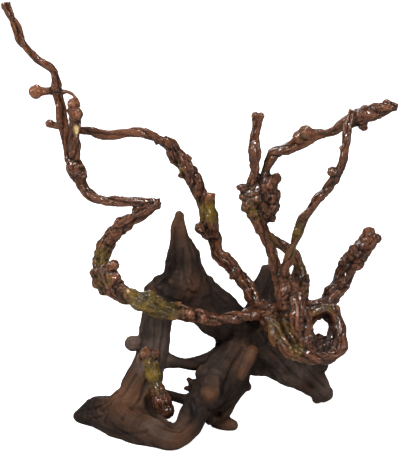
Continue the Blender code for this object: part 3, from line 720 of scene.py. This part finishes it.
def wood_tint_group():
    """Wood colour that wanders between two shades, with painted shade in the hollows and worn bright on the
    crests.
    """
    tree, inside, out = new_group("wood_tint", (
        ("Shade", "NodeSocketColor", (0.1, 0.04, 0.02, 1)),
        ("Light shade", "NodeSocketColor", (0.2, 0.08, 0.04, 1)),
        ("Hollow shade", "NodeSocketColor", (0.01, 0.006, 0.004, 1)),
        ("Crest shade", "NodeSocketColor", (0.4, 0.2, 0.1, 1)), ("Scale", "NodeSocketFloat", 90.0),
        ("Hollow", "NodeSocketFloat", 0.0), ("Crest", "NodeSocketFloat", 0.0),
    ), (("Color", "NodeSocketColor"), ("Mottle", "NodeSocketFloat")))
    where = node(tree, "ShaderNodeTexCoord").outputs["Object"]
    broad = node(tree, "ShaderNodeTexNoise", {
        "Vector": where, "Scale": inside.outputs["Scale"], "Detail": 5.0, "Roughness": 0.6})
    mottle = remap(tree, broad.outputs["Fac"], 0.34, 0.66)
    colour = mixed(tree, mottle, inside.outputs["Shade"], inside.outputs["Light shade"])
    colour = mixed(tree, inside.outputs["Crest"], colour, inside.outputs["Crest shade"])
    colour = mixed(tree, inside.outputs["Hollow"], colour, inside.outputs["Hollow shade"])
    tree.links.new(colour, out.inputs["Color"])
    tree.links.new(mottle, out.inputs["Mottle"])
    return tree


def moss_film_group():
    """A film of olive moss over a colour, broken up at its edges."""
    tree, inside, out = new_group("moss_film", (
        ("Color", "NodeSocketColor", (0.1, 0.04, 0.02, 1)), ("Moss", "NodeSocketColor", (0.12, 0.1, 0.01, 1)),
        ("Deep moss", "NodeSocketColor", (0.05, 0.05, 0.01, 1)), ("Amount", "NodeSocketFloat", 0.0),
        ("Scale", "NodeSocketFloat", 160.0),
    ), (("Color", "NodeSocketColor"), ("Mask", "NodeSocketFloat")))
    where = node(tree, "ShaderNodeTexCoord").outputs["Object"]
    fleck = node(tree, "ShaderNodeTexNoise", {
        "Vector": where, "Scale": inside.outputs["Scale"], "Detail": 4.0, "Roughness": 0.6})
    flecked = math_node(tree, "MULTIPLY", fleck.outputs["Fac"], 0.9)
    lifted = math_node(tree, "ADD", inside.outputs["Amount"], flecked)
    mask = remap(tree, lifted, 0.62, 1.02)
    blotch = node(tree, "ShaderNodeTexNoise", {
        "Vector": where, "Scale": math_node(tree, "MULTIPLY", inside.outputs["Scale"], 0.5), "Detail": 3.0})
    green = mixed(tree, remap(tree, blotch.outputs["Fac"], 0.4, 0.62), inside.outputs["Deep moss"],
                  inside.outputs["Moss"])
    tree.links.new(mixed(tree, mask, inside.outputs["Color"], green), out.inputs["Color"])
    tree.links.new(mask, out.inputs["Mask"])
    return tree


def grain_group():
    """Fine grain that runs along the strands, as a height and a mask."""
    tree, inside, out = new_group("fine_grain", (
        ("Place", "NodeSocketVector", (0, 0, 0)), ("Width", "NodeSocketFloat", 0.001),
        ("Length", "NodeSocketFloat", 0.006), ("Specks", "NodeSocketFloat", 0.4),
    ), (("Height", "NodeSocketFloat"), ("Mask", "NodeSocketFloat")))
    width, length = inside.outputs["Width"], inside.outputs["Length"]
    stretch = node(tree, "ShaderNodeCombineXYZ", {"X": width, "Y": width, "Z": length})
    place = node(tree, "ShaderNodeVectorMath", {0: inside.outputs["Place"], 1: stretch.outputs["Vector"]},
                 operation="DIVIDE").outputs["Vector"]
    fibres = node(tree, "ShaderNodeTexNoise", {
        "Vector": place, "Scale": 1.0, "Detail": 3.0, "Roughness": 0.6})
    where = node(tree, "ShaderNodeTexCoord").outputs["Object"]
    specks = node(tree, "ShaderNodeTexNoise", {
        "Vector": where, "Scale": math_node(tree, "DIVIDE", 0.9, width), "Detail": 2.0, "Roughness": 0.5})
    speck = remap(tree, specks.outputs["Fac"], 0.5, 0.75)
    speck = math_node(tree, "MULTIPLY", speck, inside.outputs["Specks"])
    tree.links.new(math_node(tree, "ADD", fibres.outputs["Fac"], speck), out.inputs["Height"])
    tree.links.new(remap(tree, fibres.outputs["Fac"], 0.35, 0.65), out.inputs["Mask"])
    return tree


def shared_group(name, build):
    """The shader group of that name, built the first time it is asked for."""
    return bpy.data.node_groups.get(name) or build()


def attribute(tree, name):
    """A mark that carve stored on the skin."""
    return node(tree, "ShaderNodeAttribute", attribute_name=name).outputs["Fac"]


def set_from(made, finish, **keys):
    """Gives a node's inputs the finish's values of those keys. An underscore stands for a space in a name."""
    for socket, key in keys.items():
        made.inputs[socket.replace("_", " ")].default_value = finish[key]


def wood_material(name, finish):
    """A wood finish: its shades, moss, grain and lacquer from named values."""
    if name in bpy.data.materials:
        return bpy.data.materials[name]
    material = bpy.data.materials.new(name)
    material.use_nodes = True
    tree = material.node_tree
    shader = tree.nodes["Principled BSDF"]
    hollow = math_node(tree, "MULTIPLY", attribute(tree, "hollow"), finish["hollow_strength"], clamp=True)
    crest = math_node(tree, "MULTIPLY", attribute(tree, "crest"), finish["crest_strength"], clamp=True)
    tint = node(tree, "ShaderNodeGroup", node_tree=shared_group("wood_tint", wood_tint_group))
    set_from(tint, finish, Shade="shade", Light_shade="light_shade", Hollow_shade="hollow_shade",
             Crest_shade="crest_shade", Scale="mottle_scale")
    tree.links.new(hollow, tint.inputs["Hollow"])
    tree.links.new(crest, tint.inputs["Crest"])
    copper = math_node(tree, "MULTIPLY", attribute(tree, "copper"), 0.85)
    colour = mixed(tree, copper, tint.outputs["Color"], finish["copper_shade"])
    film = node(tree, "ShaderNodeGroup", {"Color": colour, "Amount": attribute(tree, "moss")},
                node_tree=shared_group("moss_film", moss_film_group))
    set_from(film, finish, Moss="moss_shade", Deep_moss="deep_moss_shade", Scale="moss_scale")
    grain = node(tree, "ShaderNodeGroup", node_tree=shared_group("fine_grain", grain_group))
    # Darker paint: painted shade in recesses and cracks, and a darker tone of the wood in places
    dark = math_node(tree, "MULTIPLY", attribute(tree, "dark"), 0.85)
    colour = mixed(tree, dark, film.outputs["Color"], finish["hollow_shade"])
    # Painted shade in the hollows, laid a second time
    colour = mixed(tree, math_node(tree, "MULTIPLY", hollow, 0.6), colour, finish["hollow_shade"])
    furrow = math_node(tree, "MULTIPLY", remap(tree, grain.outputs["Mask"], 0.55, 0.0), finish["furrow"])
    colour = mixed(tree, furrow, colour, finish["hollow_shade"])
    # Painted highlight where the pale marks lie
    colour = mixed(tree, attribute(tree, "pale"), colour, finish["painted_highlight_shade"])
    tree.links.new(colour, shader.inputs["Base Color"])
    place = node(tree, "ShaderNodeAttribute", attribute_name="grain_place").outputs["Vector"]
    tree.links.new(place, grain.inputs["Place"])
    set_from(grain, finish, Width="grain_width", Length="grain_length", Specks="specks")
    bump = node(tree, "ShaderNodeBump", {
        "Height": grain.outputs["Height"], "Strength": finish["grain_strength"],
        "Distance": finish["grain_depth"]})
    tree.links.new(bump.outputs["Normal"], shader.inputs["Normal"])
    low, high = finish["roughness"]
    rough = node(tree, "ShaderNodeMapRange", {
        "Value": grain.outputs["Mask"], "To Min": low, "To Max": high}).outputs[0]
    tree.links.new(rough, shader.inputs["Roughness"])
    lacquer = math_node(tree, "MULTIPLY", math_node(tree, "SUBTRACT", 1.0, hollow), finish["coat"])
    tree.links.new(lacquer, shader.inputs["Coat Weight"])
    set_from(shader, finish, Coat_Roughness="coat_roughness", Specular_IOR_Level="specular",
             Sheen_Weight="sheen")
    shader.inputs["Sheen Roughness"].default_value = 0.5
    return material


def colour_prop(name, description, default):
    return FloatVectorProperty(
        name=name, description=description, default=default, size=4, min=0, max=1, subtype="COLOR")


def length_prop(name, description, default):
    return FloatProperty(
        name=name, description=description, default=default, min=0.00005, max=0.1, precision=5,
        subtype="DISTANCE", unit="LENGTH")


class SPIDERWOOD_PG_branches(PropertyGroup):
    """Sizes and colours of the lacquered branches."""

    voxel: length_prop("Fineness", "Edge of the cells that the skin of the branches is fused from", 0.0008)
    fibre: length_prop("Fibre depth", "Depth of the lengthwise fibres", 0.0007)
    wart: length_prop("Wart height", "Height of the warts where the bark is warty", 0.0009)
    wrinkle: length_prop("Wrinkle depth", "Depth of the wrinkles across the limbs", 0.0007)
    shade: colour_prop("Wood", "Red-brown of the lacquered wood", (0.046, 0.0145, 0.0060, 1))
    light_shade: colour_prop(
        "Light wood", "Lighter patches of the lacquered wood", (0.124, 0.0410, 0.0160, 1))
    crest_shade: colour_prop("Worn crest", "Coppery tone of the worn crests", (0.34, 0.120, 0.050, 1))
    copper_shade: colour_prop("Copper", "Bright copper of the rubbed lumps", (0.46, 0.160, 0.066, 1))
    moss_shade: colour_prop("Moss", "Olive of the moss film", (0.205, 0.122, 0.011, 1))
    deep_moss_shade: colour_prop("Deep moss", "Dark green of the moss film", (0.075, 0.049, 0.010, 1))


class SPIDERWOOD_PG_stump(PropertyGroup):
    """Sizes and colours of the matt stump."""

    voxel: length_prop("Fineness", "Edge of the cells that the skin of the stump is fused from", 0.0011)
    fibre: length_prop("Groove depth", "Depth of the long grooves", 0.0007)
    shade: colour_prop("Dark wood", "Brown-black of the stump", (0.0160, 0.0088, 0.0062, 1))
    light_shade: colour_prop("Grey wood", "Grey-brown patches of the stump", (0.036, 0.0215, 0.0150, 1))
    # Lighter grey-brown of the stump's moss patches; on the left leg it is painted light, lighter where the key
    # light falls
    grey_and_painted_light_shade: colour_prop("Bleached wood", "Grey-brown of the dry places", (0.120, 0.080, 0.062, 1))
    crest_shade: colour_prop("Worn wood", "Brown of the worn places", (0.150, 0.061, 0.026, 1))


class SPIDERWOOD_PG_stage(PropertyGroup):
    """The floor and the light."""

    floor: colour_prop("Floor", "Colour of the floor", (0.93, 0.93, 0.93, 1))
    floor_glow: FloatProperty(
        name="Floor glow", description="How much the floor shines by itself", default=0.95, min=0)
    key_power: FloatProperty(
        name="Key light", description="Power of the soft light above the front", default=26,
        min=0, unit="POWER")
    fill_power: FloatProperty(
        name="Fill lights", description="Power of each soft light at the sides, above and behind", default=7,
        min=0, unit="POWER")
    sky: FloatProperty(
        name="Sky", description="Strength of the even light from all round", default=0.22, min=0)
    reflected_sky: FloatProperty(
        name="Reflected sky", description="Strength of the sky in the gloss", default=0.02, min=0)


# What both finishes share, then each finish and how deep each skin is carved
WOOD_FINISH = {"crest_strength": 0.6, "grain_depth": 0.0010, "painted_highlight_shade": (0.85, 0.60, 0.26, 1)}
# hollow_shade is the colour of the painted shade in hollows, seams and cracks, and also of the darker patches
# and the grain's furrows
BRANCH_FINISH = WOOD_FINISH | {
    "hollow_shade": (0.016, 0.0058, 0.0024, 1), "hollow_strength": 1.0, "mottle_scale": 120.0,
    "moss_scale": 190.0, "grain_width": 0.0010, "grain_length": 0.005, "specks": 0.9, "furrow": 0.40,
    "grain_strength": 0.9, "roughness": (0.20, 0.42), "coat": 0.95, "coat_roughness": 0.080,
    "specular": 0.32, "sheen": 0.0,
}
STUMP_FINISH = WOOD_FINISH | {
    "hollow_shade": (0.010, 0.0060, 0.0042, 1), "hollow_strength": 0.7, "mottle_scale": 38.0,
    "moss_scale": 60.0, "grain_width": 0.0022, "grain_length": 0.030, "specks": 0.6, "furrow": 0.30,
    "grain_strength": 0.6, "roughness": (0.5, 0.75), "coat": 0.0, "coat_roughness": 0.3, "specular": 0.17,
    "sheen": 0.01, "deep_moss_shade": (0.070, 0.045, 0.034, 1),
}
BRANCH_DEPTHS = {
    "fibre_width": 0.0021, "fibre_length": 0.011, "stretch": 1.5, "wart_width": 0.0025, "lump_width": 0.010,
    "lump": 0.0016, "gnarl": 0.0024, "gnarl_width": 0.0052, "stout": 0.0052, "seam": 0.0003,
    "near_dent": 0.00030, "wide_dent": 0.0010,
}
STUMP_DEPTHS = {
    "fibre_width": 0.0055, "fibre_length": 0.060, "stretch": 2.2, "wart_width": 0.006, "lump_width": 0.024,
    "lump": 0.0030, "gnarl": 0.0019, "gnarl_width": 0.013, "stout": 0.0120, "seam": 0.0002,
    "near_dent": 0.0008, "wide_dent": 0.0024, "wart": 0.0018, "wrinkle": 0.0006,
}


def branch_settings(scene):
    """The carving depths and the finish of the branches."""
    props = scene.spiderwood_branches
    depths = dict(BRANCH_DEPTHS, fibre=props.fibre, wart=props.wart, wrinkle=props.wrinkle)
    finish = dict(BRANCH_FINISH)
    for key in ("shade", "light_shade", "crest_shade", "copper_shade", "moss_shade", "deep_moss_shade"):
        finish[key] = tuple(getattr(props, key))
    return depths, finish


def stump_settings(scene):
    """The carving depths and the finish of the stump."""
    props = scene.spiderwood_stump
    depths = dict(STUMP_DEPTHS, fibre=props.fibre)
    finish = dict(STUMP_FINISH)
    for key in ("shade", "light_shade", "crest_shade"):
        finish[key] = tuple(getattr(props, key))
    finish["copper_shade"] = finish["crest_shade"]
    # The stump's moss film lays the lighter grey-brown, painted light on the left leg
    finish["moss_shade"] = tuple(props.grey_and_painted_light_shade)
    return depths, finish


def fineness(voxel):
    """The voxel size, as given."""
    return voxel


def finished(piece, node_name, material):
    """Smooths a piece's shading, gives it its material and puts it in place of its CAD node."""
    select_only(piece)
    bpy.ops.object.shade_smooth()
    piece.data.materials.clear()
    piece.data.materials.append(material)
    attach(piece, "root")
    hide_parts(node_name)
    bpy.ops.object.select_all(action="DESELECT")


def grown_branch(context, name, limbs, knots, strokes, seed, patches=BRANCH_PATCHES,
                 node_name="branch_crown", finish_name="lacquered_branch"):
    """One carved piece with the finish of the branches, a piece of the crown unless it says otherwise."""
    scene = context.scene
    depths, finish = branch_settings(scene)
    piece, strands = fused(name, limbs, knots, fineness(scene.spiderwood_branches.voxel), BRANCH_SMOOTHING)
    carve(piece, strands, patches, strokes, depths, seed)
    finished(piece, node_name, wood_material(finish_name, finish))


# Strokes laid on the front of a piece: by kind, (width, depth, (across, up), ...)
LEFT_ARM_STROKES = {
    "crack": (
        (0.7, 0.9, (-65.5, 156), (-65, 150)), (0.7, 0.9, (-63, 156), (-62, 150)),
        (0.7, 0.9, (-60, 155), (-59, 150)), (0.7, 0.8, (-57, 154), (-56, 149)),
        (1.1, 1.2, (-64, 148), (-50, 143), (-36, 140.5)), (1.2, 1.5, (-94, 178), (-86, 178.5), (-79, 177)),
        (1.2, 1.5, (-96, 184), (-95, 174), (-93, 166)), (0.9, 1.2, (-99, 167), (-96, 162), (-94, 156)),
        (0.9, 1.2, (-94, 166), (-90, 160), (-88, 153)), (0.9, 1.2, (-88, 164), (-85, 158), (-82, 152)),
        (0.9, 1.2, (-82, 163), (-79, 158), (-77, 152)), (1.1, 1.4, (-3, 138), (-4, 129)),
        (1.0, 1.2, (-14, 142), (-15, 134)),
    ),
    "ridge": (
        (1.5, 1.3, (-66, 145), (-52, 139.5), (-38, 137)), (2.6, 1.8, (-20, 146)), (1.3, 1.2, (-71, 157)),
    ),
    "copper": (
        (3.4, 0.6, (-20, 146)), (4, 0.35, (-9, 137)), (4, 0.35, (4, 132)), (3.5, 0.9, (-127, 346)),
        (3.5, 0.8, (-122, 335)), (4, 0.6, (-86, 173)), (3, 0.5, (-87, 185)),
    ),
    # Painted highlights: small cream-gold glints on the left arm
    "pale": ((2.2, 1.3, (-123.5, 322), (-122.5, 318)), (1.6, 0.9, (-72, 159))),
    "dark": ((3, 0.6, (-129, 322), (-128, 304)),),
}
BACK_ARM_STROKES = {
    "crack": (
        (1.3, 1.8, (5.5, 240), (5.5, 230), (6, 222), (9, 214)), (1.0, 1.2, (-3, 228), (-4, 220), (0, 215)),
        (1.1, 1.3, (16, 198), (20, 192), (26, 190)), (1.1, 1.3, (12, 195), (18, 189), (22, 184)),
        (1.0, 1.2, (28, 190), (32, 182), (38, 172)), (1.4, 1.8, (-36, 304), (-30, 299)),
        (1.1, 1.4, (-28, 305), (-22, 296), (-20, 287)), (1.0, 1.3, (-30, 292), (-22, 284), (-16, 274)),
        (1.0, 1.3, (-14, 284), (-8, 276), (-5, 266)), (1.0, 1.0, (2, 262), (3, 250), (5, 240)),
    ),
    "copper": ((3.4, 0.9, (10, 256)), (3.5, 0.5, (-32, 309)), (4, 0.3, (22, 189))),
    "dark": ((4, 0.8, (34, 176)),),
    "ridge": ((1.6, 1.4, (44, 168), (50, 160)),),
}
HUB_STROKES = {
    "crack": (
        (1.0, 1.3, (82, 153), (86, 155), (89.5, 157)), (0.9, 1.0, (80.5, 149), (89, 150)),
        (0.9, 0.9, (82, 145), (88, 146)), (0.9, 1.0, (83, 164), (88, 166.5)),
        (0.9, 0.8, (91, 154), (96, 157)), (2.2, 3.2, (81, 188), (81.5, 178), (84, 170)),
        (1.5, 1.6, (106, 140), (107, 128), (104, 118)),
        (1.7, 2.2, (79, 138), (83, 125), (90, 110), (99, 99)), (1.3, 1.6, (75, 122), (81, 111), (88, 103)),
        (1.2, 1.4, (88, 138), (91, 122), (97, 108)), (3.0, 4.5, (93, 181), (95, 174), (97, 168)),
        (1.3, 2.0, (92, 197), (97, 187), (99, 179)),
        (1.2, 1.3, (136, 134), (140, 120), (141, 106), (136, 96)), (1.2, 1.4, (140, 168), (145, 165)),
        (1.3, 1.6, (146, 192), (152, 187), (160, 186)), (1.1, 1.4, (133, 170), (141, 172), (147, 170)),
        (1.2, 1.4, (160, 200), (167, 196), (173, 196)),
    ),
    "ridge": (
        (2.0, 1.2, (76, 166)), (1.6, 1.0, (83, 132)), (1.8, 1.0, (94, 147)), (1.8, 1.0, (98, 133)),
        (1.6, 1.0, (107, 107)), (1.6, 1.2, (81, 160)), (1.8, 1.6, (96, 200), (101, 190), (103, 180)),
        (1.3, 2.2, (122, 110)), (1.3, 2.2, (121, 103)),
    ),
    # Painted shade in the back loop's hollow and inside the ring, and darker spots on the club
    "dark": (
        (5, 1.0, (101, 173), (106, 170)),
        (5.0, 1.0, (125, 135), (130, 128), (133, 116), (130, 103), (121, 99)),
        (4.5, 0.8, (112, 112), (116, 108)), (4, 0.6, (128, 160), (134, 168)), (3.5, 0.5, (146, 184)),
    ),
    "copper": ((4, 0.4, (103, 160), (107, 164)),),
    "moss": ((4.5, 0.5, (112, 138), (120, 143), (130, 140)),),
}
RIGHT_BRANCH_STROKES = {
    "crack": (
        (1.2, 1.4, (60, 276), (60.5, 262), (60, 250)), (1.2, 1.6, (66, 262), (72, 257), (79, 256)),
        (1.2, 1.6, (64, 250), (70, 245), (77, 246)), (1.2, 1.5, (42, 256), (48, 252), (55, 254)),
        (1.2, 1.5, (44, 244), (50, 240), (58, 242)), (1.1, 1.4, (62, 238), (68, 233), (73, 236)),
        (1.1, 1.4, (48, 262), (50, 270)), (0.9, 1.2, (100, 312), (107, 309), (114, 311)),
    ),
    "dark": ((4, 0.7, (79, 262), (80, 250)),),
    "copper": ((4, 0.4, (70, 263)), (2.5, 0.6, (144, 298)), (3.2, 0.6, (184, 343))),
    "ridge": ((1.6, 1.4, (47, 262)), (1.6, 1.4, (52, 246))),
}
STUMP_STROKES = {
    "crack": (
        (1.6, 2.2, (-96, 50), (-92, 38), (-97, 27)), (1.5, 2.2, (-108, 47), (-110, 38), (-106, 30)),
        (1.4, 2.0, (-100, 44), (-112, 40), (-122, 37)), (1.4, 1.8, (-99, 34), (-110, 31)),
        (2.2, 2.6, (-42, 160), (-37, 153), (-28, 149), (-20, 147)),
        (1.6, 1.3, (-25, 222), (-27, 205), (-31, 190)), (1.5, 1.0, (-12, 215), (-9, 200), (-4, 185)),
        (1.8, 1.3, (-17, 200), (-18, 182), (-13, 166)), (2.0, 1.5, (-30, 182), (-34, 170), (-44, 163)),
        (1.3, 1.2, (-10, 172), (-6, 165)), (1.3, 1.2, (-12, 160), (-4, 156)),
        (2.0, 1.5, (6, 176), (14, 160), (26, 146)), (1.2, 0.6, (-55, 128), (-57, 106), (-60, 84)),
        (1.2, 0.6, (-45, 130), (-47, 104), (-52, 78)), (1.2, 0.6, (-36, 128), (-39, 104), (-41, 86)),
        (1.8, 1.6, (-64, 76), (-78, 54), (-98, 40)), (1.8, 1.8, (-52, 72), (-60, 50), (-78, 30)),
        (1.8, 1.5, (-36, 30), (-54, 18), (-78, 16)), (1.5, 1.2, (-84, 58), (-98, 46), (-112, 36)),
        (3.0, 3.4, (43, 101), (36, 90), (30, 77), (25, 64), (22, 52)), (2.2, 2.0, (-1, 64), (-3, 54)),
        (3.5, 3.5, (-9, 50), (-6, 42), (-5, 36)), (1.6, 1.8, (-59, 117), (-57, 107), (-59, 96)),
        (4.5, 5.0, (-52, 50), (-48, 41), (-45, 34)), (2.0, 2.0, (62, 118), (74, 98), (92, 78), (112, 62)),
        (1.8, 1.6, (80, 110), (96, 92), (112, 76), (124, 64)), (1.6, 1.5, (-34, 22), (-20, 18), (-6, 30)),
        (2.2, 2.6, (10, 40), (18, 36), (30, 44)),
    ),
    "ridge": (
        (2.6, 2.0, (-104, 46), (-100, 36)), (2.2, 2.0, (-116, 40), (-113, 32)),
        (3.0, 1.6, (-36, 176), (-30, 168)), (2.6, 1.3, (-12, 168)), (2.2, 1.3, (-6, 160)),
        (2.4, 1.3, (-16, 160)), (2.0, 1.2, (54, 100)), (3.0, 1.5, (17, 72), (18, 60)),
    ),
    # Painted shade in the creases and hollows of the stump and beside the shoot
    "dark": (
        (4.5, 0.8, (-38, 158), (-28, 150), (-14, 147)), (12, 1.0, (-10, 56), (-8, 44), (-4, 34)),
        (8, 0.9, (30, 76), (25, 60), (24, 44)), (6, 1.0, (-51, 48), (-46, 36)),
        (5, 0.7, (4, 132), (18, 118)),
    ),
    "copper": ((6, 0.9, (11, 56), (8, 50)), (3.5, 0.6, (51, 103), (45, 92))),
}
SHOOT_STROKES = {
    "copper": ((8, 0.1, (-53, 97), (-47, 96)),),
    "dark": ((5, 0.25, (-53, 93), (-45, 93)), (9, 0.6, (-32, 40))),
    "crack": (
        (0.8, 1.0, (-58, 90), (-50, 88.5), (-44, 90)), (0.9, 1.3, (-56, 84), (-41, 83)),
        (0.9, 1.3, (-55, 78), (-40, 77)), (0.9, 1.3, (-54, 72), (-38, 71)),
        (0.9, 1.3, (-53, 66), (-36, 64)), (0.9, 1.0, (-51, 60), (-34, 58)),
    ),
}


class SPIDERWOOD_OT_left_arm(Operator):
    """Grow the long left arm with its knots, side strand and ball stub"""

    bl_idname = "spiderwood.left_arm"
    bl_label = "Left Arm"

    def execute(self, context):
        grown_branch(context, "left_arm", LEFT_ARM, LEFT_ARM_KNOTS, LEFT_ARM_STROKES, seed=11)
        return {"FINISHED"}


class SPIDERWOOD_OT_back_arm(Operator):
    """Grow the braided arm at the back with its wrapped stub"""

    bl_idname = "spiderwood.back_arm"
    bl_label = "Back Arm"

    def execute(self, context):
        grown_branch(context, "back_arm", BACK_ARM, BACK_ARM_KNOTS, BACK_ARM_STROKES, seed=23)
        return {"FINISHED"}


class SPIDERWOOD_OT_hub(Operator):
    """Grow the hub: the trunk, the ring, the loop behind and the thick right club"""

    bl_idname = "spiderwood.hub"
    bl_label = "Hub and Ring"

    def execute(self, context):
        grown_branch(context, "hub_and_ring", HUB, HUB_KNOTS, HUB_STROKES, seed=37)
        return {"FINISHED"}


class SPIDERWOOD_OT_right_branches(Operator):
    """Grow the stem with its double knob, the high branch and the fore twig"""

    bl_idname = "spiderwood.right_branches"
    bl_label = "Right Branches"

    def execute(self, context):
        grown_branch(
            context, "right_branches", RIGHT_BRANCHES, RIGHT_BRANCH_KNOTS, RIGHT_BRANCH_STROKES, seed=53)
        return {"FINISHED"}


class SPIDERWOOD_OT_shoot(Operator):
    """Grow the short mossy shoot that stands against the left leg"""

    bl_idname = "spiderwood.shoot"
    bl_label = "Mossy Shoot"

    def execute(self, context):
        grown_branch(
            context, "shoot_skin", SHOOT, SHOOT_KNOTS, SHOOT_STROKES, seed=71, patches=SHOOT_PATCHES,
            node_name="mossy_shoot", finish_name="mossy_wood")
        return {"FINISHED"}


class SPIDERWOOD_OT_stump(Operator):
    """Grow the dark stump on its feet, cut flat at the floor"""

    bl_idname = "spiderwood.stump"
    bl_label = "Stump"

    def execute(self, context):
        scene = context.scene
        depths, finish = stump_settings(scene)
        voxel = fineness(scene.spiderwood_stump.voxel)
        piece, strands = fused(
            "stump_skin", STUMP, STUMP_KNOTS, voxel, STUMP_SMOOTHING, sway=0.35, plumpness=1.12)
        bpy.ops.object.mode_set(mode="EDIT")
        bpy.ops.mesh.select_all(action="SELECT")
        bpy.ops.mesh.bisect(plane_co=(0, 0, 0), plane_no=(0, 0, 1), use_fill=True, clear_inner=True)
        bpy.ops.object.mode_set(mode="OBJECT")
        carve(piece, strands, STUMP_PATCHES, STUMP_STROKES, depths, seed=83)
        finished(piece, "stump", wood_material("matt_stump", finish))
        return {"FINISHED"}


class SPIDERWOOD_OT_stage(Operator):
    """Lay the pale floor, hang the soft studio light and set the camera"""

    bl_idname = "spiderwood.stage"
    bl_label = "Stage"

    def execute(self, context):
        props = context.scene.spiderwood_stage
        bpy.ops.mesh.primitive_plane_add(size=FLOOR_SIZE, location=(0, FLOOR_BACK, 0))
        bpy.ops.object.transform_apply(location=True)
        floor = context.object
        floor.name = "floor"
        material = bpy.data.materials.new("pale_floor")
        material.use_nodes = True
        shader = material.node_tree.nodes["Principled BSDF"]
        shader.inputs["Roughness"].default_value = 0.9
        shader.inputs["Emission Color"].default_value = (1, 1, 1, 1)
        tree = material.node_tree
        path = node(tree, "ShaderNodeLightPath").outputs
        glow = math_node(tree, "MULTIPLY", path["Is Camera Ray"], props.floor_glow)
        tree.links.new(glow, shader.inputs["Emission Strength"])
        pale = mixed(tree, path["Is Glossy Ray"], tuple(props.floor), FLOOR_IN_GLOSS)
        tree.links.new(pale, shader.inputs["Base Color"])
        floor.data.materials.append(material)

        aim = Vector((-MIDDLE[0], AIM_BACK - MIDDLE[1], AIM_HEIGHT)) * LIFE_SIZE
        for name, place, size, power in LIGHTS:
            bpy.ops.object.light_add(type="AREA", location=place)
            light = context.object
            light.name = name
            light.data.energy = getattr(props, power)
            light.data.size = size
            light.rotation_euler = (aim - Vector(place)).to_track_quat("-Z", "Y").to_euler()
        world = bpy.data.worlds.new("studio")
        world.use_nodes = True
        background = world.node_tree.nodes["Background"]
        background.inputs["Color"].default_value = (1, 1, 1, 1)
        tree = world.node_tree
        path = node(tree, "ShaderNodeLightPath").outputs
        dimming = math_node(tree, "MULTIPLY", path["Is Glossy Ray"], props.sky - props.reflected_sky)
        sky = math_node(tree, "SUBTRACT", props.sky, dimming)
        strength = math_node(tree, "MAXIMUM", path["Is Camera Ray"], sky)
        tree.links.new(strength, background.inputs["Strength"])
        context.scene.world = world
        context.scene.view_settings.view_transform = "Standard"

        distance = EYE_DISTANCE * LIFE_SIZE
        back_off = Vector((0, -math.cos(SIGHT_TILT), math.sin(SIGHT_TILT))) * distance
        bpy.ops.object.camera_add(location=aim + back_off, rotation=(math.pi / 2 - SIGHT_TILT, 0, 0))
        camera = context.object
        camera.name = "front_camera"
        camera.data.sensor_width = SENSOR_WIDTH
        camera.data.lens = SENSOR_WIDTH * EYE_DISTANCE / PHOTO_HEIGHT
        context.scene.camera = camera
        return {"FINISHED"}


class SPIDERWOOD_PT_panel(Panel):
    """Lists the pieces of the root"""

    bl_idname = "SPIDERWOOD_PT_panel"
    bl_label = "Spiderwood Root"
    bl_space_type = "VIEW_3D"
    bl_region_type = "UI"
    bl_category = "Root"

    def draw(self, context):
        scene = context.scene
        for group in (scene.spiderwood_branches, scene.spiderwood_stump, scene.spiderwood_stage):
            box = self.layout.box()
            for name in group.bl_rna.properties.keys():
                if name not in ("rna_type", "name"):
                    box.prop(group, name)
        for operator in PIECES:
            self.layout.operator(operator.bl_idname)


PIECES = (
    SPIDERWOOD_OT_left_arm,
    SPIDERWOOD_OT_back_arm,
    SPIDERWOOD_OT_hub,
    SPIDERWOOD_OT_right_branches,
    SPIDERWOOD_OT_shoot,
    SPIDERWOOD_OT_stump,
    SPIDERWOOD_OT_stage,
)
GROUPS = (SPIDERWOOD_PG_branches, SPIDERWOOD_PG_stump, SPIDERWOOD_PG_stage)


def register():
    for cls in (*GROUPS, *PIECES, SPIDERWOOD_PT_panel):
        bpy.utils.register_class(cls)
    bpy.types.Scene.spiderwood_branches = PointerProperty(type=SPIDERWOOD_PG_branches)
    bpy.types.Scene.spiderwood_stump = PointerProperty(type=SPIDERWOOD_PG_stump)
    bpy.types.Scene.spiderwood_stage = PointerProperty(type=SPIDERWOOD_PG_stage)


def unregister():
    del bpy.types.Scene.spiderwood_stage
    del bpy.types.Scene.spiderwood_stump
    del bpy.types.Scene.spiderwood_branches
    for cls in reversed((*GROUPS, *PIECES, SPIDERWOOD_PT_panel)):
        bpy.utils.unregister_class(cls)


def main():
    """Makes every piece."""
    register()
    bpy.ops.object.select_all(action="DESELECT")
    bpy.ops.spiderwood.left_arm()
    bpy.ops.spiderwood.back_arm()
    bpy.ops.spiderwood.hub()
    bpy.ops.spiderwood.right_branches()
    bpy.ops.spiderwood.shoot()
    bpy.ops.spiderwood.stump()
    bpy.ops.spiderwood.stage()


if __name__ == "__main__":
    main()
